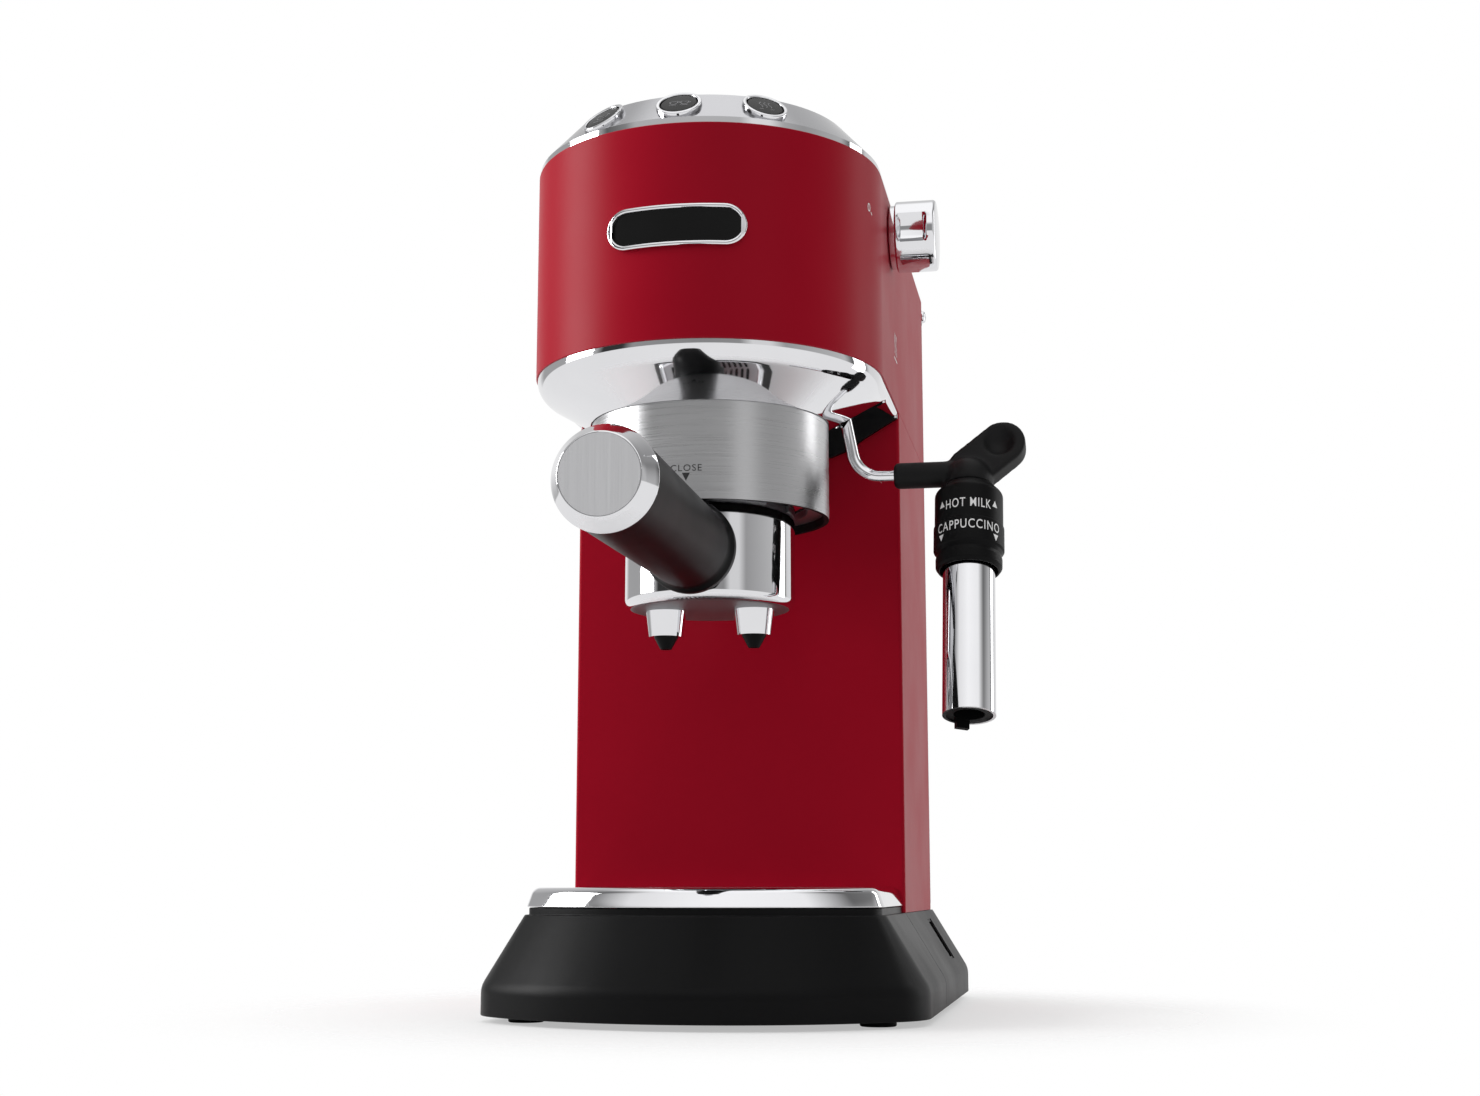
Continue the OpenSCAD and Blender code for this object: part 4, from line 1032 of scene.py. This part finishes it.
def smooth_range(tree, source, start, stop, low, high):
    """Goes smoothly from low to high while the source goes from start to stop."""
    return add_node(tree, "ShaderNodeMapRange", {
        "Value": source, "From Min": start, "From Max": stop, "To Min": low, "To Max": high},
        interpolation_type="SMOOTHSTEP").outputs["Result"]


def mix_shaders(tree, share, first, second):
    """The shader that lies a share of the way from the first to the second."""
    return add_node(tree, "ShaderNodeMixShader", {0: share, 1: first, 2: second}).outputs["Shader"]


def floor_material():
    """Matt white, lifted a little to the camera, and clear far out and from below."""
    mat = bpy.data.materials.new("floor_white")
    mat.use_nodes = True
    tree = mat.node_tree
    matt = fill(tree, tree.nodes["Principled BSDF"], {
        "Base Color": (0.85, 0.85, 0.85, 1), "Roughness": 0.6, "Specular IOR Level": 0.1})
    white = add_node(tree, "ShaderNodeEmission", {"Color": WHITE}).outputs["Emission"]
    seen = add_node(tree, "ShaderNodeLightPath").outputs["Is Camera Ray"]
    lit = mix_shaders(tree, maths(tree, "MULTIPLY", seen, CAMERA_LIFT), matt.outputs["BSDF"], white)
    place = add_node(tree, "ShaderNodeTexCoord").outputs["Object"]
    offset = add_node(tree, "ShaderNodeVectorMath", {0: place, 1: at(0, -5, 0)},
                      operation="SUBTRACT").outputs["Vector"]
    away = add_node(tree, "ShaderNodeVectorMath", {0: offset}, operation="LENGTH").outputs["Value"]
    fade = smooth_range(tree, away, FADE_START, FADE_END, 0.0, 1.0)
    from_below = add_node(tree, "ShaderNodeNewGeometry").outputs["Backfacing"]
    clear = add_node(tree, "ShaderNodeBsdfTransparent").outputs["BSDF"]
    surface = mix_shaders(tree, maths(tree, "MAXIMUM", fade, from_below), lit, clear)
    fill(tree, tree.nodes["Material Output"], {"Surface": surface})
    return mat


floor_mesh = bpy.data.meshes.new("floor")
floor_mesh.from_pydata([(x * FLOOR_SIZE, y * FLOOR_SIZE, 0) for x, y in
                        ((-1, -1), (1, -1), (1, 1), (-1, 1))], [], [(0, 1, 2, 3)])
floor_mesh.materials.append(floor_material())
floor = add_object("floor", floor_mesh)
print("floor ready")

# %% Room
# Brightness by degrees to the right of the front: at eye level, and on the slope of the ceiling.
EYE_LEVEL = [(-180, 0.9), (-142, 0.9), (-130, 0.4), (-100, 0.4), (-68, 0.45), (-62, 0.04),
             (-47, 0.04), (-40, 0.32), (0, 0.28), (30, 0.30), (38, 0.75), (50, 0.75), (60, 0.36),
             (108, 0.55), (118, 0.06), (130, 0.06), (138, 0.75), (180, 0.9)]
CEILING = [(-180, 0.7), (-120, 0.5), (-70, 0.15), (-45, 0.9), (0, 1.1), (50, 1.0), (75, 0.15),
           (120, 0.3), (180, 0.7)]
OVERHEAD, BELOW, BELOW_MATT = 1.15, 0.9, 0.45


def ramp(tree, bearing, stops):
    """Brightness that follows the bearing through stops of degrees and level."""
    share = add_node(tree, "ShaderNodeMapRange", {
        "Value": bearing, "From Min": -math.pi, "From Max": math.pi}).outputs["Result"]
    node = add_node(tree, "ShaderNodeValToRGB", {"Fac": share})
    points = node.color_ramp.elements
    for i, (turn, level) in enumerate(stops):
        along = (turn + 180) / 360
        point = points[0] if i == 0 else points[-1] if i == len(stops) - 1 else points.new(along)
        point.position = along
        point.color = (level, level, level, 1)
    return node.outputs["Color"]


def room():
    """A room that is white to the camera. Its walls and ceiling light the machine."""
    world = bpy.data.worlds.new("studio")
    bpy.context.scene.world = world
    world.use_nodes = True
    tree = world.node_tree
    ray = add_node(tree, "ShaderNodeTexCoord").outputs["Generated"]
    x, y, z = add_node(tree, "ShaderNodeSeparateXYZ", {"Vector": ray}).outputs
    bearing = maths(tree, "ARCTAN2", x, maths(tree, "MULTIPLY", y, -1))
    walls = smooth_range(tree, z, 0.3, 0.5, ramp(tree, bearing, EYE_LEVEL),
                         ramp(tree, bearing, CEILING))
    sky = smooth_range(tree, z, 0.8, 0.95, walls, OVERHEAD)
    path = add_node(tree, "ShaderNodeLightPath").outputs
    ground = smooth_range(tree, path["Is Glossy Ray"], 0.0, 1.0, BELOW_MATT, BELOW)
    dim = fill(tree, tree.nodes["Background"], {
        "Color": WHITE, "Strength": smooth_range(tree, z, -0.03, 0.0, ground, sky)})
    bright = add_node(tree, "ShaderNodeBackground", {"Color": WHITE, "Strength": 1.0})
    surface = mix_shaders(tree, path["Is Camera Ray"], dim.outputs["Background"],
                          bright.outputs["Background"])
    fill(tree, tree.nodes["World Output"], {"Surface": surface})


room()
print("room ready")

# %% Soft boxes
def soft_box(name, place, target, size, power):
    """A rectangular lamp that looks at a target, with its power in watts."""
    data = bpy.data.lights.new(name, "AREA")
    data.shape = "RECTANGLE"
    data.size, data.size_y = size
    data.energy = power
    obj = add_object(name, data)
    obj.location = place
    obj.rotation_euler = (Vector(target) - Vector(place)).to_track_quat("-Z", "Y").to_euler()


soft_box("left", (-1.3, -0.2, 0.6), (0, 0, 0.28), (0.6, 0.8), 16)
soft_box("right_back", (1.0, 0.65, 0.45), (0, 0, 0.18), (0.3, 1.1), 3)
print("soft boxes", len(bpy.data.lights))

# %% [markdown]
# ## View settings
# The Standard view shows each colour as it is written.

# %% View settings
bpy.context.scene.view_settings.view_transform = "Standard"
